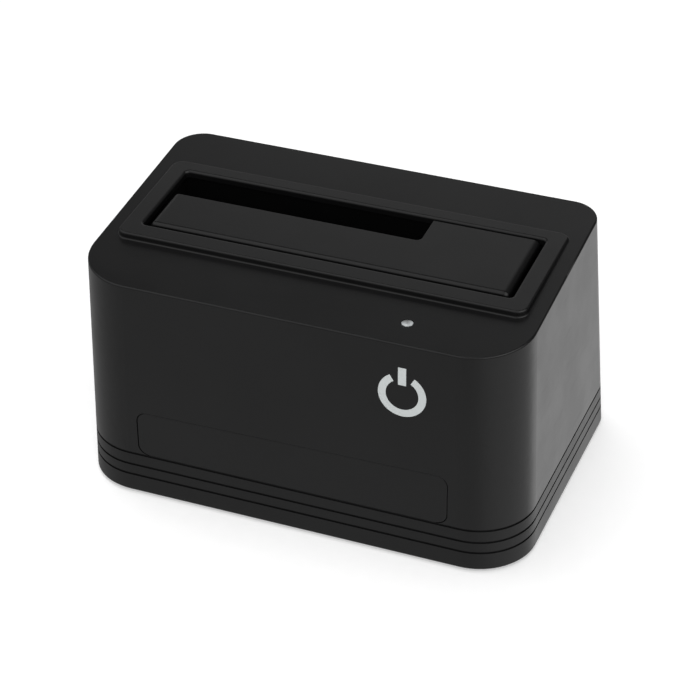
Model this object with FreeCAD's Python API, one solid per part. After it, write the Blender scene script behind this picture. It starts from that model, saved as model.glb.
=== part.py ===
import FreeCAD, Part
import math
import os

# A desktop docking station for a bare hard disk drive.
#
# A drive stands upright in the slot in the top. A sprung flap closes the slot around a smaller
# cut-out for a narrow drive, and folds down into the well when a wide drive is pushed in.
#
# Frame: X to the right, Y to the back, Z up. The origin is the centre of the base outline, at the
# surface that the feet stand on. Heights below are measured from the bottom edge of the body, and
# every piece is raised by FOOT_STAND as it is written out. All sizes are in millimetres.

V = FreeCAD.Vector
X_DIR = V(1, 0, 0)
Y_DIR = V(0, 1, 0)
Z_DIR = V(0, 0, 1)

# Building aids: how far a cutter runs past a face, how close two heights count as one, and the
# corner radius of a round ended outline as a share of its width
OVERRUN = 1.0
NEAR = 0.01
ROUND_END = 0.49

# Drives that the slot takes
DRIVE_WIDTH = 101.6
DRIVE_THICKNESS = 26.1
SMALL_DRIVE_WIDTH = 69.85
SMALL_DRIVE_THICKNESS = 9.5

# Slot in the top, and the narrow drive's cut-out in its flap
SLOT_SIDE_CLEARANCE = 1.45
SLOT_DEPTH_CLEARANCE = 2.5
SLOT_CORNER_RADIUS = 1.2
SLOT_EDGE_ROUND = 0.8
CUTOUT_WIDTH_CLEARANCE = 3.25
CUTOUT_DEPTH_CLEARANCE = 1.85
CUTOUT_CORNER_RADIUS = 1.5

# Raised platform round the slot
PLATFORM_SIDE_MARGIN = 5.35
PLATFORM_FRONT_MARGIN = 5.7
PLATFORM_BACK_MARGIN = 4.7
PLATFORM_FRONT_STEP = 1.85
PLATFORM_BACK_STEP = 0.65
PLATFORM_CORNER_RADIUS = 3.0
PLATFORM_EDGE_ROUND = 0.6
PLATFORM_FOOT_ROUND = 0.45
PLATFORM_WALL = 1.2
PLATFORM_SKIN = 2.0

# Body: the front face is upright, the sides draft in and the back leans forward
BODY_SIDE_MARGIN = 6.4
BODY_FRONT_MARGIN = 25.7
BODY_BACK_MARGIN = 30.9
FRONT_HEIGHT = 66.75
TOP_SLOPE_DEGREES = 4.0
DRAFT_HEIGHT = 72.0
SIDE_DRAFT = 2.0
BACK_LEAN = 10.0
FRONT_CORNER_RADIUS = 16.0
FRONT_CORNER_GROWTH = 0.3
BACK_CORNER_RADIUS = 9.0
BACK_CORNER_GROWTH = -0.7
WALL = 2.2
TOP_WALL = 2.4
FLOOR = 2.2
TOP_EDGE_ROUND = 0.5
BOTTOM_EDGE_CHAMFER = 0.5

# Grooves round the base: the upper one is the joint between housing and tray, where the
# housing stands on a shoulder of the tray
GROOVE_WIDTH = 0.7
GROOVE_DEPTH = 0.4
LOWER_GROOVE_Z = 5.7
MIDDLE_GROOVE_Z = 9.1
PARTING_Z = 12.9
TONGUE_THICKNESS = 1.0
TONGUE_HEIGHT = 2.4
TONGUE_GAP = 0.15
TONGUE_END_GAP = 1.0

# Blank panel in the front: its top edge falls a little towards the left
PANEL_WIDTH = 88.8
PANEL_HEIGHT = 15.2
PANEL_TOP_FALL = 1.5
PANEL_CORNER_RADIUS = 3.0
PANEL_EDGE_ROUND = 0.25
PANEL_THICKNESS = 1.5
PANEL_GAP = 0.1
PANEL_END_GAP = 0.2
PANEL_BACKING = 1.4
PANEL_WINDOW_MARGIN = 3.2
PANEL_HOOK_WIDTH = 6.0
PANEL_HOOK_THICKNESS = 1.2
PANEL_HOOK_LIP = 0.8
PANEL_HOOK_SPACING = 56.0

# Generic power symbol, let into the front face
SYMBOL_X = 31.9
SYMBOL_Z = 51.5
SYMBOL_OUTER_RADIUS = 6.55
SYMBOL_INNER_RADIUS = 4.45
SYMBOL_GAP_HALF_ANGLE = 31.0
SYMBOL_BAR_WIDTH = 2.2
SYMBOL_BAR_BOTTOM = 3.0
SYMBOL_BAR_TOP = 8.3
INLAY_DEPTH = 0.4
INLAY_GAP = 0.04

# Status light and its light pipe
LIGHT_X = 29.9
LIGHT_FROM_FRONT = 9.1
LIGHT_PIPE_RADIUS = 1.5
LIGHT_PIPE_GAP = 0.12
LIGHT_PIPE_DOME = 0.35
LIGHT_SLEEVE_RADIUS = 3.2
LIGHT_SLEEVE_LENGTH = 8.0
LIGHT_COLLAR_RADIUS = 2.4
LIGHT_COLLAR_HEIGHT = 1.2
LED_WIDTH = 3.2
LED_DEPTH = 2.8
LED_HEIGHT = 1.2
LED_LENS_RADIUS = 1.1
LED_LENS_SINK = 0.28

# Flap that closes the slot
FLAP_THICKNESS = 1.6
FLAP_BELOW_PLATFORM = 0.15
FLAP_FRONT_GAP = 1.3
FLAP_BACK_GAP = 0.9
FLAP_END_GAP = 1.3
FLAP_CORNER_RADIUS = 0.8
FLAP_NOSE_ROUND = 1.2
FLAP_BACK_ROUND = 0.4
FLAP_END_ROUND = 1.9
FLAP_END_WALL = 1.4
FLAP_END_DEPTH = 3.2
FLAP_RIB_HEIGHT = 1.0
FLAP_RIB_WIDTH = 1.2
FLAP_RIB_SPACING = 24.0
FLAP_RIB_COUNT = 4
FLAP_RIB_END_MARGIN = 1.5

# Hinge of the flap, tucked under the front lip of the slot
HINGE_SETBACK = 2.1
HINGE_PIN_RADIUS = 0.75
HINGE_PIN_OVERHANG = 0.8
HINGE_PIN_CHAMFER = 0.2
HINGE_BARREL_RADIUS = 1.5
HINGE_BARREL_WIDTH = 8.0
HINGE_SPACING = 76.0
HINGE_RUNNING_GAP = 0.06
HINGE_LUG_THICKNESS = 1.8
HINGE_LUG_DEPTH = 9.0
HINGE_ARM_DROP = 1.1
HINGE_ARM_REACH = 5.2
MOVING_GAP = 0.3

# Torsion spring that closes the flap
SPRING_WIRE_RADIUS = 0.25
SPRING_MEAN_RADIUS = 1.4
SPRING_PITCH = 1.0
SPRING_TURNS = 5
SPRING_ARM_LENGTH = 6.6
SPRING_ARM_ANGLE = 25.0
SPRING_TAIL_LENGTH = 6.2
SPRING_TAIL_ANGLE = 65.0
SPRING_SIDE_GAP = 1.2

# Well that guides the drive down to its connector
WELL_WALL = 1.6
WELL_SLOT_OFFSET = 0.6
WELL_HINGE_GAP = 0.4
WELL_TOP_GAP = 0.2
WELL_FLOOR_ABOVE_BOARD = 4.5
WELL_FLOOR = 1.6
WELL_WINDOW_GAP = 0.4
WELL_RIB_WIDTH = 1.6
WELL_BACK_RIB_HEIGHT = 0.5
WELL_SIDE_RIB_HEIGHT = 0.7
WELL_RIB_BELOW_TOP = 12.0
WELL_STOP_RIB_SPACING = 40.0
WELL_BACK_RIB_SPACINGS = (27.0, 83.6)
WELL_SIDE_RIB_SPACING = 14.3
WELL_REST_HEIGHT = 1.2
WELL_REST_WIDTH = 3.0
WELL_REST_INSET = 3.0
WELL_TAB_Z = 52.0
WELL_TAB_THICKNESS = 2.6
WELL_TAB_RADIUS = 3.4
WELL_TAB_REACH = 4.6
WELL_TAB_SPACING_X = 76.0
WELL_FOOT_RADIUS = 2.7
WELL_FOOT_INSET_Y = 5.5

# Main board
BOARD_ABOVE_PARTING = 1.5
BOARD_THICKNESS = 1.6
BOARD_SIDE_GAP = 16.3
BOARD_FRONT_GAP = 3.4
BOARD_BACK_GAP = 1.2
BOARD_CORNER_RADIUS = 1.5
SOLDER_GAP = 0.1

# Drive connector: a signal slot and a power slot, each with a short hook at one end
CONNECTOR_OFFSET_X = -16.5
CONNECTOR_FROM_SLOT_BACK = 4.6
CONNECTOR_LENGTH = 42.0
CONNECTOR_WIDTH = 6.4
CONNECTOR_HEIGHT = 9.0
CONNECTOR_SLOT_WIDTH = 1.5
CONNECTOR_SLOT_DEPTH = 5.6
CONNECTOR_HOOK_LENGTH = 1.2
CONNECTOR_HOOK_WIDTH = 1.4
SIGNAL_SLOT_LENGTH = 10.4
POWER_SLOT_LENGTH = 20.8
CONNECTOR_SLOT_SPACING = 2.4
CONTACT_PITCH = 1.27
CONTACT_SHIFT = 0.35
CONTACT_WIDTH = 0.6
CONTACT_THICKNESS = 0.3
CONTACT_HEIGHT = 4.4
SIGNAL_CONTACTS = 7
POWER_CONTACTS = 15

# Rear sockets and button, by their distance from the middle of the back
SOCKET_RECESS = 0.3
SOCKET_OPENING_GAP = 0.25
USB_X = 6.0
USB_WIDTH = 12.0
USB_HEIGHT = 11.0
USB_LENGTH = 16.4
USB_SHEET = 0.4
USB_OPENING_WIDTH = 8.5
USB_OPENING_HEIGHT = 7.8
USB_OPENING_CHAMFER = 1.6
USB_OPENING_DEPTH = 9.0
USB_TONGUE_WIDTH = 5.6
USB_TONGUE_HEIGHT = 3.2
USB_TONGUE_SETBACK = 0.8
USB_CONTACT_WIDTH = 1.0
USB_CONTACT_THICKNESS = 0.25
USB_CONTACT_SPACING = 2.6
JACK_X = 25.0
JACK_WIDTH = 9.0
JACK_HEIGHT = 11.0
JACK_LENGTH = 14.2
JACK_BORE_RADIUS = 3.15
JACK_BORE_DEPTH = 9.5
JACK_PIN_RADIUS = 1.0
JACK_PIN_SETBACK = 0.6
JACK_PIN_TIP_ROUND = 0.33
JACK_PIN_TAIL_RADIUS = 0.8
JACK_PIN_TAIL_LENGTH = 3.0
JACK_PIN_NECK_LENGTH = 0.3
SWITCH_X = -18.0
SWITCH_SIZE = 8.5
SWITCH_LENGTH = 9.5
SWITCH_TO_CAP = 2.9
BUTTON_RADIUS = 3.8
BUTTON_LENGTH = 6.2
BUTTON_TRAVEL = 2.5
BUTTON_PROUD = 2.6
BUTTON_EDGE_ROUND = 0.6
BUTTON_GAP = 0.35
PLUNGER_SIZE = 3.4
PLUNGER_IN_BODY = 4.0
PLUNGER_GAP = 0.3

# Chips and other parts on the board
CHIP_SIZE = 9.0
CHIP_HEIGHT = 1.4
CHIP_X = -26.0
CHIP_Y = -10.0
CHIP_LEAD_LENGTH = 1.0
CHIP_LEAD_WIDTH = 0.25
CHIP_LEAD_PITCH = 0.8
CHIP_LEADS_PER_SIDE = 10
CHIP_LEAD_THICKNESS = 0.25
FLASH_LENGTH = 5.0
FLASH_WIDTH = 4.0
FLASH_HEIGHT = 1.5
FLASH_X = -11.0
FLASH_Y = -12.0
CAPACITOR_RADIUS = 3.15
CAPACITOR_HEIGHT = 7.4
CAPACITOR_X = 37.5
CAPACITOR_Y = 22.0
CAPACITOR_SPACING = 9.0
CAPACITOR_BASE = 6.8
CAPACITOR_BASE_HEIGHT = 0.8
CAPACITOR_EDGE_ROUND = 0.4
INDUCTOR_SIZE = 7.0
INDUCTOR_HEIGHT = 3.6
INDUCTOR_CORNER_RADIUS = 1.4
INDUCTOR_X = 22.0
INDUCTOR_Y = -10.0
CRYSTAL_LENGTH = 11.0
CRYSTAL_WIDTH = 4.4
CRYSTAL_HEIGHT = 3.4
CRYSTAL_X = -28.0
CRYSTAL_Y = 20.0
REGULATOR_LENGTH = 6.5
REGULATOR_WIDTH = 3.5
REGULATOR_HEIGHT = 1.7
REGULATOR_X = 10.0
REGULATOR_Y = -24.0
REGULATOR_SPACING = 11.0
PASSIVE_LENGTH = 1.6
PASSIVE_WIDTH = 0.8
PASSIVE_HEIGHT = 0.7
PASSIVE_COLUMNS = 8
PASSIVE_ROWS = 2
PASSIVE_SPACING_X = 4.0
PASSIVE_SPACING_Y = 3.5
PASSIVE_X = -30.0
PASSIVE_Y = -28.0

# Fasteners and feet
CASE_SCREW_RADIUS = 1.45
CASE_SCREW_HEAD_RADIUS = 2.7
CASE_SCREW_HEAD_HEIGHT = 1.9
CASE_SCREW_GRIP = 9.0
CASE_COUNTERBORE_DEPTH = 6.0
CASE_POST_RADIUS = 4.0
CASE_SCREW_FRONT_X_MARGIN = 14.0
CASE_SCREW_FRONT_Y_MARGIN = 11.6
CASE_SCREW_BACK_X_MARGIN = 9.5
CASE_SCREW_BACK_Y_MARGIN = 16.6
SMALL_SCREW_RADIUS = 1.2
SMALL_SCREW_HEAD_RADIUS = 2.2
SMALL_SCREW_HEAD_HEIGHT = 1.5
SMALL_SCREW_GRIP = 3.4
WELL_SCREW_GRIP = 6.0
WELL_POST_RADIUS = 3.2
SCREW_THREAD_GAP = 0.05
SCREW_CLEARANCE = 0.3
SCREW_END_GAP = 1.0
SCREW_TIP_SHARE = 0.5
SCREW_HEAD_ROUND_SHARE = 0.33
CROSS_WIDTH = 0.6
CROSS_DEPTH = 0.9
CROSS_LENGTH_RATIO = 1.3
FOOT_RADIUS = 5.0
FOOT_STAND = 1.0
FOOT_RECESS = 0.6
FOOT_GAP = 0.1
FOOT_EDGE_ROUND = 0.3
FOOT_FRONT_X = 36.0
FOOT_BACK_X = 42.0
FOOT_EDGE_MARGIN = 9.0

# Ventilation slots in the floor of the tray
VENT_COUNT = 7
VENT_WIDTH = 1.8
VENT_LENGTH = 24.0
VENT_SPACING = 6.0

# Sizes that follow from the ones above
SLOT_LENGTH = DRIVE_WIDTH + 2 * SLOT_SIDE_CLEARANCE
SLOT_DEPTH = DRIVE_THICKNESS + SLOT_DEPTH_CLEARANCE
PLATFORM_HALF = SLOT_LENGTH / 2 + PLATFORM_SIDE_MARGIN
BODY_HALF = PLATFORM_HALF + BODY_SIDE_MARGIN
BODY_DEPTH = BODY_FRONT_MARGIN + SLOT_DEPTH + BODY_BACK_MARGIN
FRONT_Y = -BODY_DEPTH / 2
BACK_Y = BODY_DEPTH / 2
SLOT_X0 = -SLOT_LENGTH / 2
SLOT_X1 = SLOT_LENGTH / 2
SLOT_Y0 = FRONT_Y + BODY_FRONT_MARGIN
SLOT_Y1 = SLOT_Y0 + SLOT_DEPTH
PLATFORM_Y0 = SLOT_Y0 - PLATFORM_FRONT_MARGIN
PLATFORM_Y1 = SLOT_Y1 + PLATFORM_BACK_MARGIN
TOP_SLOPE = math.tan(math.radians(TOP_SLOPE_DEGREES))
HOUSING_Z0 = PARTING_Z + GROOVE_WIDTH / 2
TRAY_Z1 = PARTING_Z - GROOVE_WIDTH / 2
BODY_TOP = FRONT_HEIGHT + BODY_DEPTH / 4
FAR = 2 * (BODY_HALF + BODY_DEPTH)
FLAP_HALF = SLOT_LENGTH / 2 - FLAP_END_GAP
FLAP_Y0 = SLOT_Y0 + FLAP_FRONT_GAP
FLAP_Y1 = SLOT_Y1 - FLAP_BACK_GAP
HINGE_Y = SLOT_Y0 - HINGE_SETBACK
BOARD_Z1 = PARTING_Z + BOARD_ABOVE_PARTING
BOARD_Z0 = BOARD_Z1 - BOARD_THICKNESS
BOARD_HALF = BODY_HALF - WALL - BOARD_SIDE_GAP
BOARD_Y0 = FRONT_Y + WALL + BOARD_FRONT_GAP
CONNECTOR_FAR_X = abs(CONNECTOR_OFFSET_X) + CONNECTOR_LENGTH / 2
WELL_Z0 = BOARD_Z1 + WELL_FLOOR_ABOVE_BOARD
WELL_Z1 = WELL_Z0 + WELL_FLOOR
WELL_X0 = SLOT_X0 - WELL_SLOT_OFFSET
WELL_X1 = SLOT_X1 + WELL_SLOT_OFFSET
WELL_Y0 = HINGE_Y - HINGE_BARREL_RADIUS - WELL_HINGE_GAP
WELL_Y1 = SLOT_Y1 + WELL_SLOT_OFFSET
CONNECTOR_Y = SLOT_Y1 - CONNECTOR_FROM_SLOT_BACK
PANEL_Z0 = HOUSING_Z0 + PANEL_GAP
PANEL_Z1 = PANEL_Z0 + PANEL_HEIGHT
LIGHT_Y = FRONT_Y + LIGHT_FROM_FRONT
USB_Z0 = BOARD_Z1 + SOLDER_GAP


# Plain solids and outlines

def box(x0, x1, y0, y1, z0, z1):
    return Part.makeBox(x1 - x0, y1 - y0, z1 - z0, V(x0, y0, z0))


def rod_x(y, z, radius, x0, x1):
    return Part.makeCylinder(radius, x1 - x0, V(x0, y, z), X_DIR)


def rod_y(x, z, radius, y0, y1):
    return Part.makeCylinder(radius, y1 - y0, V(x, y0, z), Y_DIR)


def rod_z(x, y, radius, z0, z1):
    return Part.makeCylinder(radius, z1 - z0, V(x, y, z0), Z_DIR)


def join(shapes):
    """One solid from pieces that touch."""
    shapes = list(shapes)
    return shapes[0].fuse(shapes[1:]).removeSplitter()


def group(shapes):
    """Separate solids of one kind, kept together."""
    return Part.makeCompound(list(shapes))


def polygon(points):
    """A flat face from corner points."""
    return Part.Face(Part.makePolygon(list(points) + [points[0]]))


def arc_through(a, b, c):
    return Part.Arc(a, b, c).toShape()


def outline_wire(x0, x1, y0, y1, front_radius, back_radius, z):
    """A level outline of four straights and four corner arcs."""
    corners = [
        (x1, y0, front_radius, 1, -1, -90),
        (x1, y1, back_radius, 1, 1, 0),
        (x0, y1, back_radius, -1, 1, 90),
        (x0, y0, front_radius, -1, -1, 180),
    ]
    arcs = []
    for x, y, radius, side_x, side_y, start in corners:
        centre = V(x - side_x * radius, y - side_y * radius, z)
        points = []
        for turn in (0, 45, 90):
            angle = math.radians(start + turn)
            points.append(centre + V(radius * math.cos(angle), radius * math.sin(angle), 0))
        arcs.append(points)
    edges = []
    for i, points in enumerate(arcs):
        edges.append(arc_through(*points))
        edges.append(Part.makeLine(points[2], arcs[(i + 1) % 4][0]))
    return Part.Wire(edges)


def round_block(x0, x1, y0, y1, radius, z0, z1):
    """A block with upright rounded corners."""
    wire = outline_wire(x0, x1, y0, y1, radius, radius, z0)
    return Part.Face(wire).extrude(V(0, 0, z1 - z0))


def edges_where(shape, test):
    return [edge for edge in shape.Edges if test(edge)]


def middle(edge):
    return edge.valueAt((edge.FirstParameter + edge.LastParameter) / 2)


def cross_recess(x, y, z, head_radius, direction):
    """The driver's cross in a screw head whose face is at height z."""
    half = head_radius * CROSS_LENGTH_RATIO / 2
    z0 = min(z, z + direction * CROSS_DEPTH)
    z1 = max(z, z + direction * CROSS_DEPTH)
    width = CROSS_WIDTH / 2
    bar = box(x - half, x + half, y - width, y + width, z0, z1)
    return bar.fuse(box(x - width, x + width, y - half, y + half, z0, z1))


def screw_up(x, y, seat_z, radius, length, head_radius, head_height):
    """A screw driven in from below, its head under seat_z."""
    shank = rod_z(x, y, radius, seat_z, seat_z + length)
    tip = edges_where(shank, lambda e: e.Closed and middle(e).z > seat_z + length / 2)
    shank = shank.makeChamfer(radius * SCREW_TIP_SHARE, tip)
    head = rod_z(x, y, head_radius, seat_z - head_height, seat_z)
    rim = edges_where(head, lambda e: e.Closed and middle(e).z < seat_z - head_height / 2)
    head = head.makeFillet(head_height * SCREW_HEAD_ROUND_SHARE, rim)
    screw = join([shank, head])
    return screw.cut(cross_recess(x, y, seat_z - head_height, head_radius, 1))


# Shape of the body

def top_z(y):
    """Height of the outer top at a depth y."""
    return FRONT_HEIGHT + (y - FRONT_Y) * TOP_SLOPE


def platform_z(y):
    """Height of the raised platform at a depth y."""
    front = top_z(PLATFORM_Y0) + PLATFORM_FRONT_STEP
    back = top_z(PLATFORM_Y1) + PLATFORM_BACK_STEP
    return front + (y - PLATFORM_Y0) * (back - front) / (PLATFORM_Y1 - PLATFORM_Y0)


def back_wall_y(z):
    """Outer face of the leaning back wall at a height z."""
    return BACK_Y - BACK_LEAN * z / DRAFT_HEIGHT


def below(surface, drop):
    """Everything below a sloping surface, lowered by drop."""
    face = polygon([
        V(-FAR, -FAR, -FAR),
        V(-FAR, FAR, -FAR),
        V(-FAR, FAR, surface(FAR) - drop),
        V(-FAR, -FAR, surface(-FAR) - drop),
    ])
    return face.extrude(V(2 * FAR, 0, 0))


def body_wire(z, inset):
    share = z / DRAFT_HEIGHT
    half = BODY_HALF - SIDE_DRAFT * share - inset
    return outline_wire(
        -half, half, FRONT_Y + inset, BACK_Y - BACK_LEAN * share - inset,
        FRONT_CORNER_RADIUS + FRONT_CORNER_GROWTH * share - inset,
        BACK_CORNER_RADIUS + BACK_CORNER_GROWTH * share - inset, z)


def body_solid(z0, z1, inset):
    """A slice of the drafted body, its sides moved in by inset."""
    return Part.makeLoft([body_wire(z0, inset), body_wire(z1, inset)], True, True)


def platform_solid(inset, drop, z0):
    block = round_block(
        -PLATFORM_HALF + inset, PLATFORM_HALF - inset, PLATFORM_Y0 + inset, PLATFORM_Y1 - inset,
        PLATFORM_CORNER_RADIUS - inset, z0, BODY_TOP)
    return block.common(below(platform_z, drop))


def on_surface(surface, drop):
    """A test for edges that lie in a sloping surface."""
    def test(edge):
        return all(abs(p.z - surface(p.y) + drop) < NEAR for p in (edge.valueAt(edge.FirstParameter),
                                                                 middle(edge)))
    return test


def cavity_solid(clear, z0):
    """The room inside the housing, made smaller by a clearance."""
    room = body_solid(z0, BODY_TOP, WALL + clear).common(below(top_z, TOP_WALL + clear))
    pocket = platform_solid(PLATFORM_WALL + clear, PLATFORM_SKIN + clear, FRONT_HEIGHT / 2)
    return room.fuse(pocket)


def slot_cutter():
    return round_block(
        SLOT_X0, SLOT_X1, SLOT_Y0, SLOT_Y1, SLOT_CORNER_RADIUS, FRONT_HEIGHT / 2, BODY_TOP)


def case_screw_places():
    front = (BODY_HALF - CASE_SCREW_FRONT_X_MARGIN, FRONT_Y + CASE_SCREW_FRONT_Y_MARGIN)
    back = (BODY_HALF - CASE_SCREW_BACK_X_MARGIN, BACK_Y - CASE_SCREW_BACK_Y_MARGIN)
    return [(side * x, y) for x, y in (front, back) for side in (-1, 1)]


def well_screw_places():
    front = WELL_Y0 - WELL_WALL - WELL_TAB_REACH
    back = WELL_Y1 + WELL_WALL + WELL_TAB_REACH
    half = WELL_TAB_SPACING_X / 2
    return [(side * half, y) for y in (front, back) for side in (-1, 1)]


def board_screw_places():
    """The feet of the well: midway between the connector's end and the board's edge."""
    half = (CONNECTOR_FAR_X + BOARD_HALF) / 2
    front = WELL_Y0 + WELL_FOOT_INSET_Y
    back = WELL_Y1 - WELL_FOOT_INSET_Y
    return [(side * half, y) for y in (front, back) for side in (-1, 1)]


def foot_places():
    front = (FOOT_FRONT_X, FRONT_Y + FOOT_EDGE_MARGIN)
    back = (FOOT_BACK_X, BACK_Y - FOOT_EDGE_MARGIN)
    return [(side * x, y) for x, y in (front, back) for side in (-1, 1)]


def socket_face_y(height):
    """Front face of a rear socket, just inside the wall at the top of its opening."""
    return back_wall_y(BOARD_Z1 + height) - SOCKET_RECESS


# Housing

def outer_shell():
    shell = body_solid(HOUSING_Z0, BODY_TOP, 0).common(below(top_z, 0))
    shell = shell.makeFillet(TOP_EDGE_ROUND, edges_where(shell, on_surface(top_z, 0)))
    platform = platform_solid(0, 0, FRONT_HEIGHT / 2)
    rim = edges_where(platform, on_surface(platform_z, 0))
    platform = platform.makeFillet(PLATFORM_EDGE_ROUND, rim)
    return shell.fuse(platform)


def foot_of_platform(edge):
    """Whether an edge is where the platform rises from the outer top."""
    if not on_surface(top_z, 0)(edge):
        return False
    point = middle(edge)
    inside_x = abs(point.x) < PLATFORM_HALF + NEAR
    return inside_x and PLATFORM_Y0 - NEAR < point.y < PLATFORM_Y1 + NEAR


def panel_recess():
    """Room for the blank panel in the front wall, and its window."""
    recess = panel_plate(PANEL_END_GAP, PANEL_GAP, PANEL_THICKNESS + PANEL_GAP)
    inner = FRONT_Y + WALL + PANEL_BACKING
    window = box(
        -PANEL_WIDTH / 2 + PANEL_WINDOW_MARGIN, PANEL_WIDTH / 2 - PANEL_WINDOW_MARGIN,
        FRONT_Y, inner + OVERRUN, PANEL_Z0 + PANEL_WINDOW_MARGIN, PANEL_Z1 - PANEL_WINDOW_MARGIN)
    return recess.fuse(window)


def panel_backing():
    """Thicker wall behind the edge of the blank panel."""
    half = PANEL_WIDTH / 2 + PANEL_WINDOW_MARGIN
    block = box(
        -half, half, FRONT_Y + WALL / 2, FRONT_Y + WALL + PANEL_BACKING,
        HOUSING_Z0 + TONGUE_HEIGHT, PANEL_Z1 + PANEL_WINDOW_MARGIN)
    return block.common(body_solid(0, BODY_TOP, WALL / 2))


def housing_posts():
    """Posts for the case screws and the well screws, from the ceiling down."""
    posts = []
    for x, y in case_screw_places():
        posts.append(rod_z(x, y, CASE_POST_RADIUS, PARTING_Z, BODY_TOP))
    for x, y in well_screw_places():
        posts.append(rod_z(x, y, WELL_POST_RADIUS, WELL_TAB_Z + WELL_TAB_THICKNESS, BODY_TOP))
    sleeve = top_z(LIGHT_Y) - TOP_WALL - LIGHT_SLEEVE_LENGTH
    posts.append(rod_z(LIGHT_X, LIGHT_Y, LIGHT_SLEEVE_RADIUS, sleeve, BODY_TOP))
    room = body_solid(0, BODY_TOP, WALL / 2).common(below(top_z, TOP_WALL / 2))
    return [post.common(room) for post in posts]


def housing_holes():
    """Screw holes in the posts and the hole of the light pipe."""
    holes = []
    for x, y in case_screw_places():
        top = PARTING_Z + CASE_SCREW_GRIP + SCREW_END_GAP
        holes.append(rod_z(x, y, CASE_SCREW_RADIUS + SCREW_THREAD_GAP, PARTING_Z, top))
    start = WELL_TAB_Z + WELL_TAB_THICKNESS
    for x, y in well_screw_places():
        top = start + WELL_SCREW_GRIP + SCREW_END_GAP
        holes.append(rod_z(x, y, SMALL_SCREW_RADIUS + SCREW_THREAD_GAP, start, top))
    bore = LIGHT_PIPE_RADIUS + LIGHT_PIPE_GAP
    holes.append(rod_z(LIGHT_X, LIGHT_Y, bore, PARTING_Z, BODY_TOP))
    return holes


def rear_openings():
    """Holes in the back wall for the sockets and the button."""
    gap = SOCKET_OPENING_GAP
    y0 = BACK_Y - BACK_LEAN - 2 * WALL
    holes = []
    for x, width, height in ((USB_X, USB_WIDTH, USB_HEIGHT), (JACK_X, JACK_WIDTH, JACK_HEIGHT)):
        holes.append(box(
            x - width / 2 - gap, x + width / 2 + gap, y0, BACK_Y + OVERRUN,
            BOARD_Z1, BOARD_Z1 + SOLDER_GAP + height + gap))
    holes.append(rod_y(SWITCH_X, button_z(), BUTTON_RADIUS + BUTTON_GAP, y0, BACK_Y + OVERRUN))
    return holes


def tongue_groove():
    """Room inside the foot of the housing wall for the tongue of the tray."""
    inset = WALL - TONGUE_THICKNESS - TONGUE_GAP
    return body_solid(HOUSING_Z0 - OVERRUN, TRAY_Z1 + TONGUE_HEIGHT + TONGUE_GAP, inset)


def upper_housing():
    shell = outer_shell()
    shell = shell.makeFillet(PLATFORM_FOOT_ROUND, edges_where(shell, foot_of_platform))
    shell = shell.cut(cavity_solid(0, HOUSING_Z0 - OVERRUN))
    shell = shell.cut(tongue_groove())
    shell = join([shell, panel_backing()] + housing_posts())
    cutters = [panel_recess(), slot_cutter(), inlay_solids(INLAY_GAP)]
    shell = shell.cut(cutters + housing_holes() + rear_openings())
    lip = edges_where(shell, slot_edge)
    return shell.makeFillet(SLOT_EDGE_ROUND, lip)


def slot_edge(edge):
    """Whether an edge is the rim of the slot in the platform."""
    if not on_surface(platform_z, 0)(edge):
        return False
    point = middle(edge)
    return abs(point.x) < SLOT_X1 + NEAR and SLOT_Y0 - NEAR < point.y < SLOT_Y1 + NEAR


# Blank panel and power symbol

def panel_plate(grow_x, grow_z, depth):
    """The panel's outline on the front face, grown by its gaps."""
    half = PANEL_WIDTH / 2 + grow_x
    z0 = PANEL_Z0 - grow_z
    z1 = PANEL_Z1 + grow_z
    plate = polygon([
        V(-half, FRONT_Y, z0), V(half, FRONT_Y, z0),
        V(half, FRONT_Y, z1), V(-half, FRONT_Y, z1 - PANEL_TOP_FALL),
    ]).extrude(V(0, depth, 0))
    corners = edges_where(plate, lambda e: abs(middle(e).y - FRONT_Y - depth / 2) < NEAR)
    return plate.makeFillet(PANEL_CORNER_RADIUS + grow_z, corners)


def front_blank_panel():
    plate = panel_plate(0, 0, PANEL_THICKNESS)
    rim = edges_where(plate, lambda e: abs(middle(e).y - FRONT_Y) < NEAR)
    pieces = [plate.makeFillet(PANEL_EDGE_ROUND, rim)]
    window_z0 = PANEL_Z0 + PANEL_WINDOW_MARGIN + PANEL_GAP
    window_z1 = PANEL_Z1 - PANEL_WINDOW_MARGIN - PANEL_GAP
    behind = FRONT_Y + WALL + PANEL_BACKING + PANEL_GAP
    start = FRONT_Y + PANEL_THICKNESS / 2
    half = PANEL_HOOK_WIDTH / 2
    for x in (-PANEL_HOOK_SPACING / 2, PANEL_HOOK_SPACING / 2):
        for z0, side in ((window_z0, -1), (window_z1 - PANEL_HOOK_THICKNESS, 1)):
            z1 = z0 + PANEL_HOOK_THICKNESS
            end = behind + PANEL_HOOK_LIP
            pieces.append(box(x - half, x + half, start, end, z0, z1))
            lip_z0 = z0 - PANEL_HOOK_LIP if side < 0 else z0
            lip_z1 = z1 + PANEL_HOOK_LIP if side > 0 else z1
            pieces.append(box(x - half, x + half, behind, end, lip_z0, lip_z1))
    return join(pieces)


def symbol_sector(radius, depth):
    """The wedge that is left open at the top of the ring."""
    reach = 2 * radius
    angle = math.radians(SYMBOL_GAP_HALF_ANGLE)
    side = reach * math.sin(angle)
    rise = reach * math.cos(angle)
    face = polygon([
        V(SYMBOL_X, FRONT_Y - OVERRUN, SYMBOL_Z),
        V(SYMBOL_X - side, FRONT_Y - OVERRUN, SYMBOL_Z + rise),
        V(SYMBOL_X + side, FRONT_Y - OVERRUN, SYMBOL_Z + rise),
    ])
    return face.extrude(V(0, depth + 2 * OVERRUN, 0))


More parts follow.
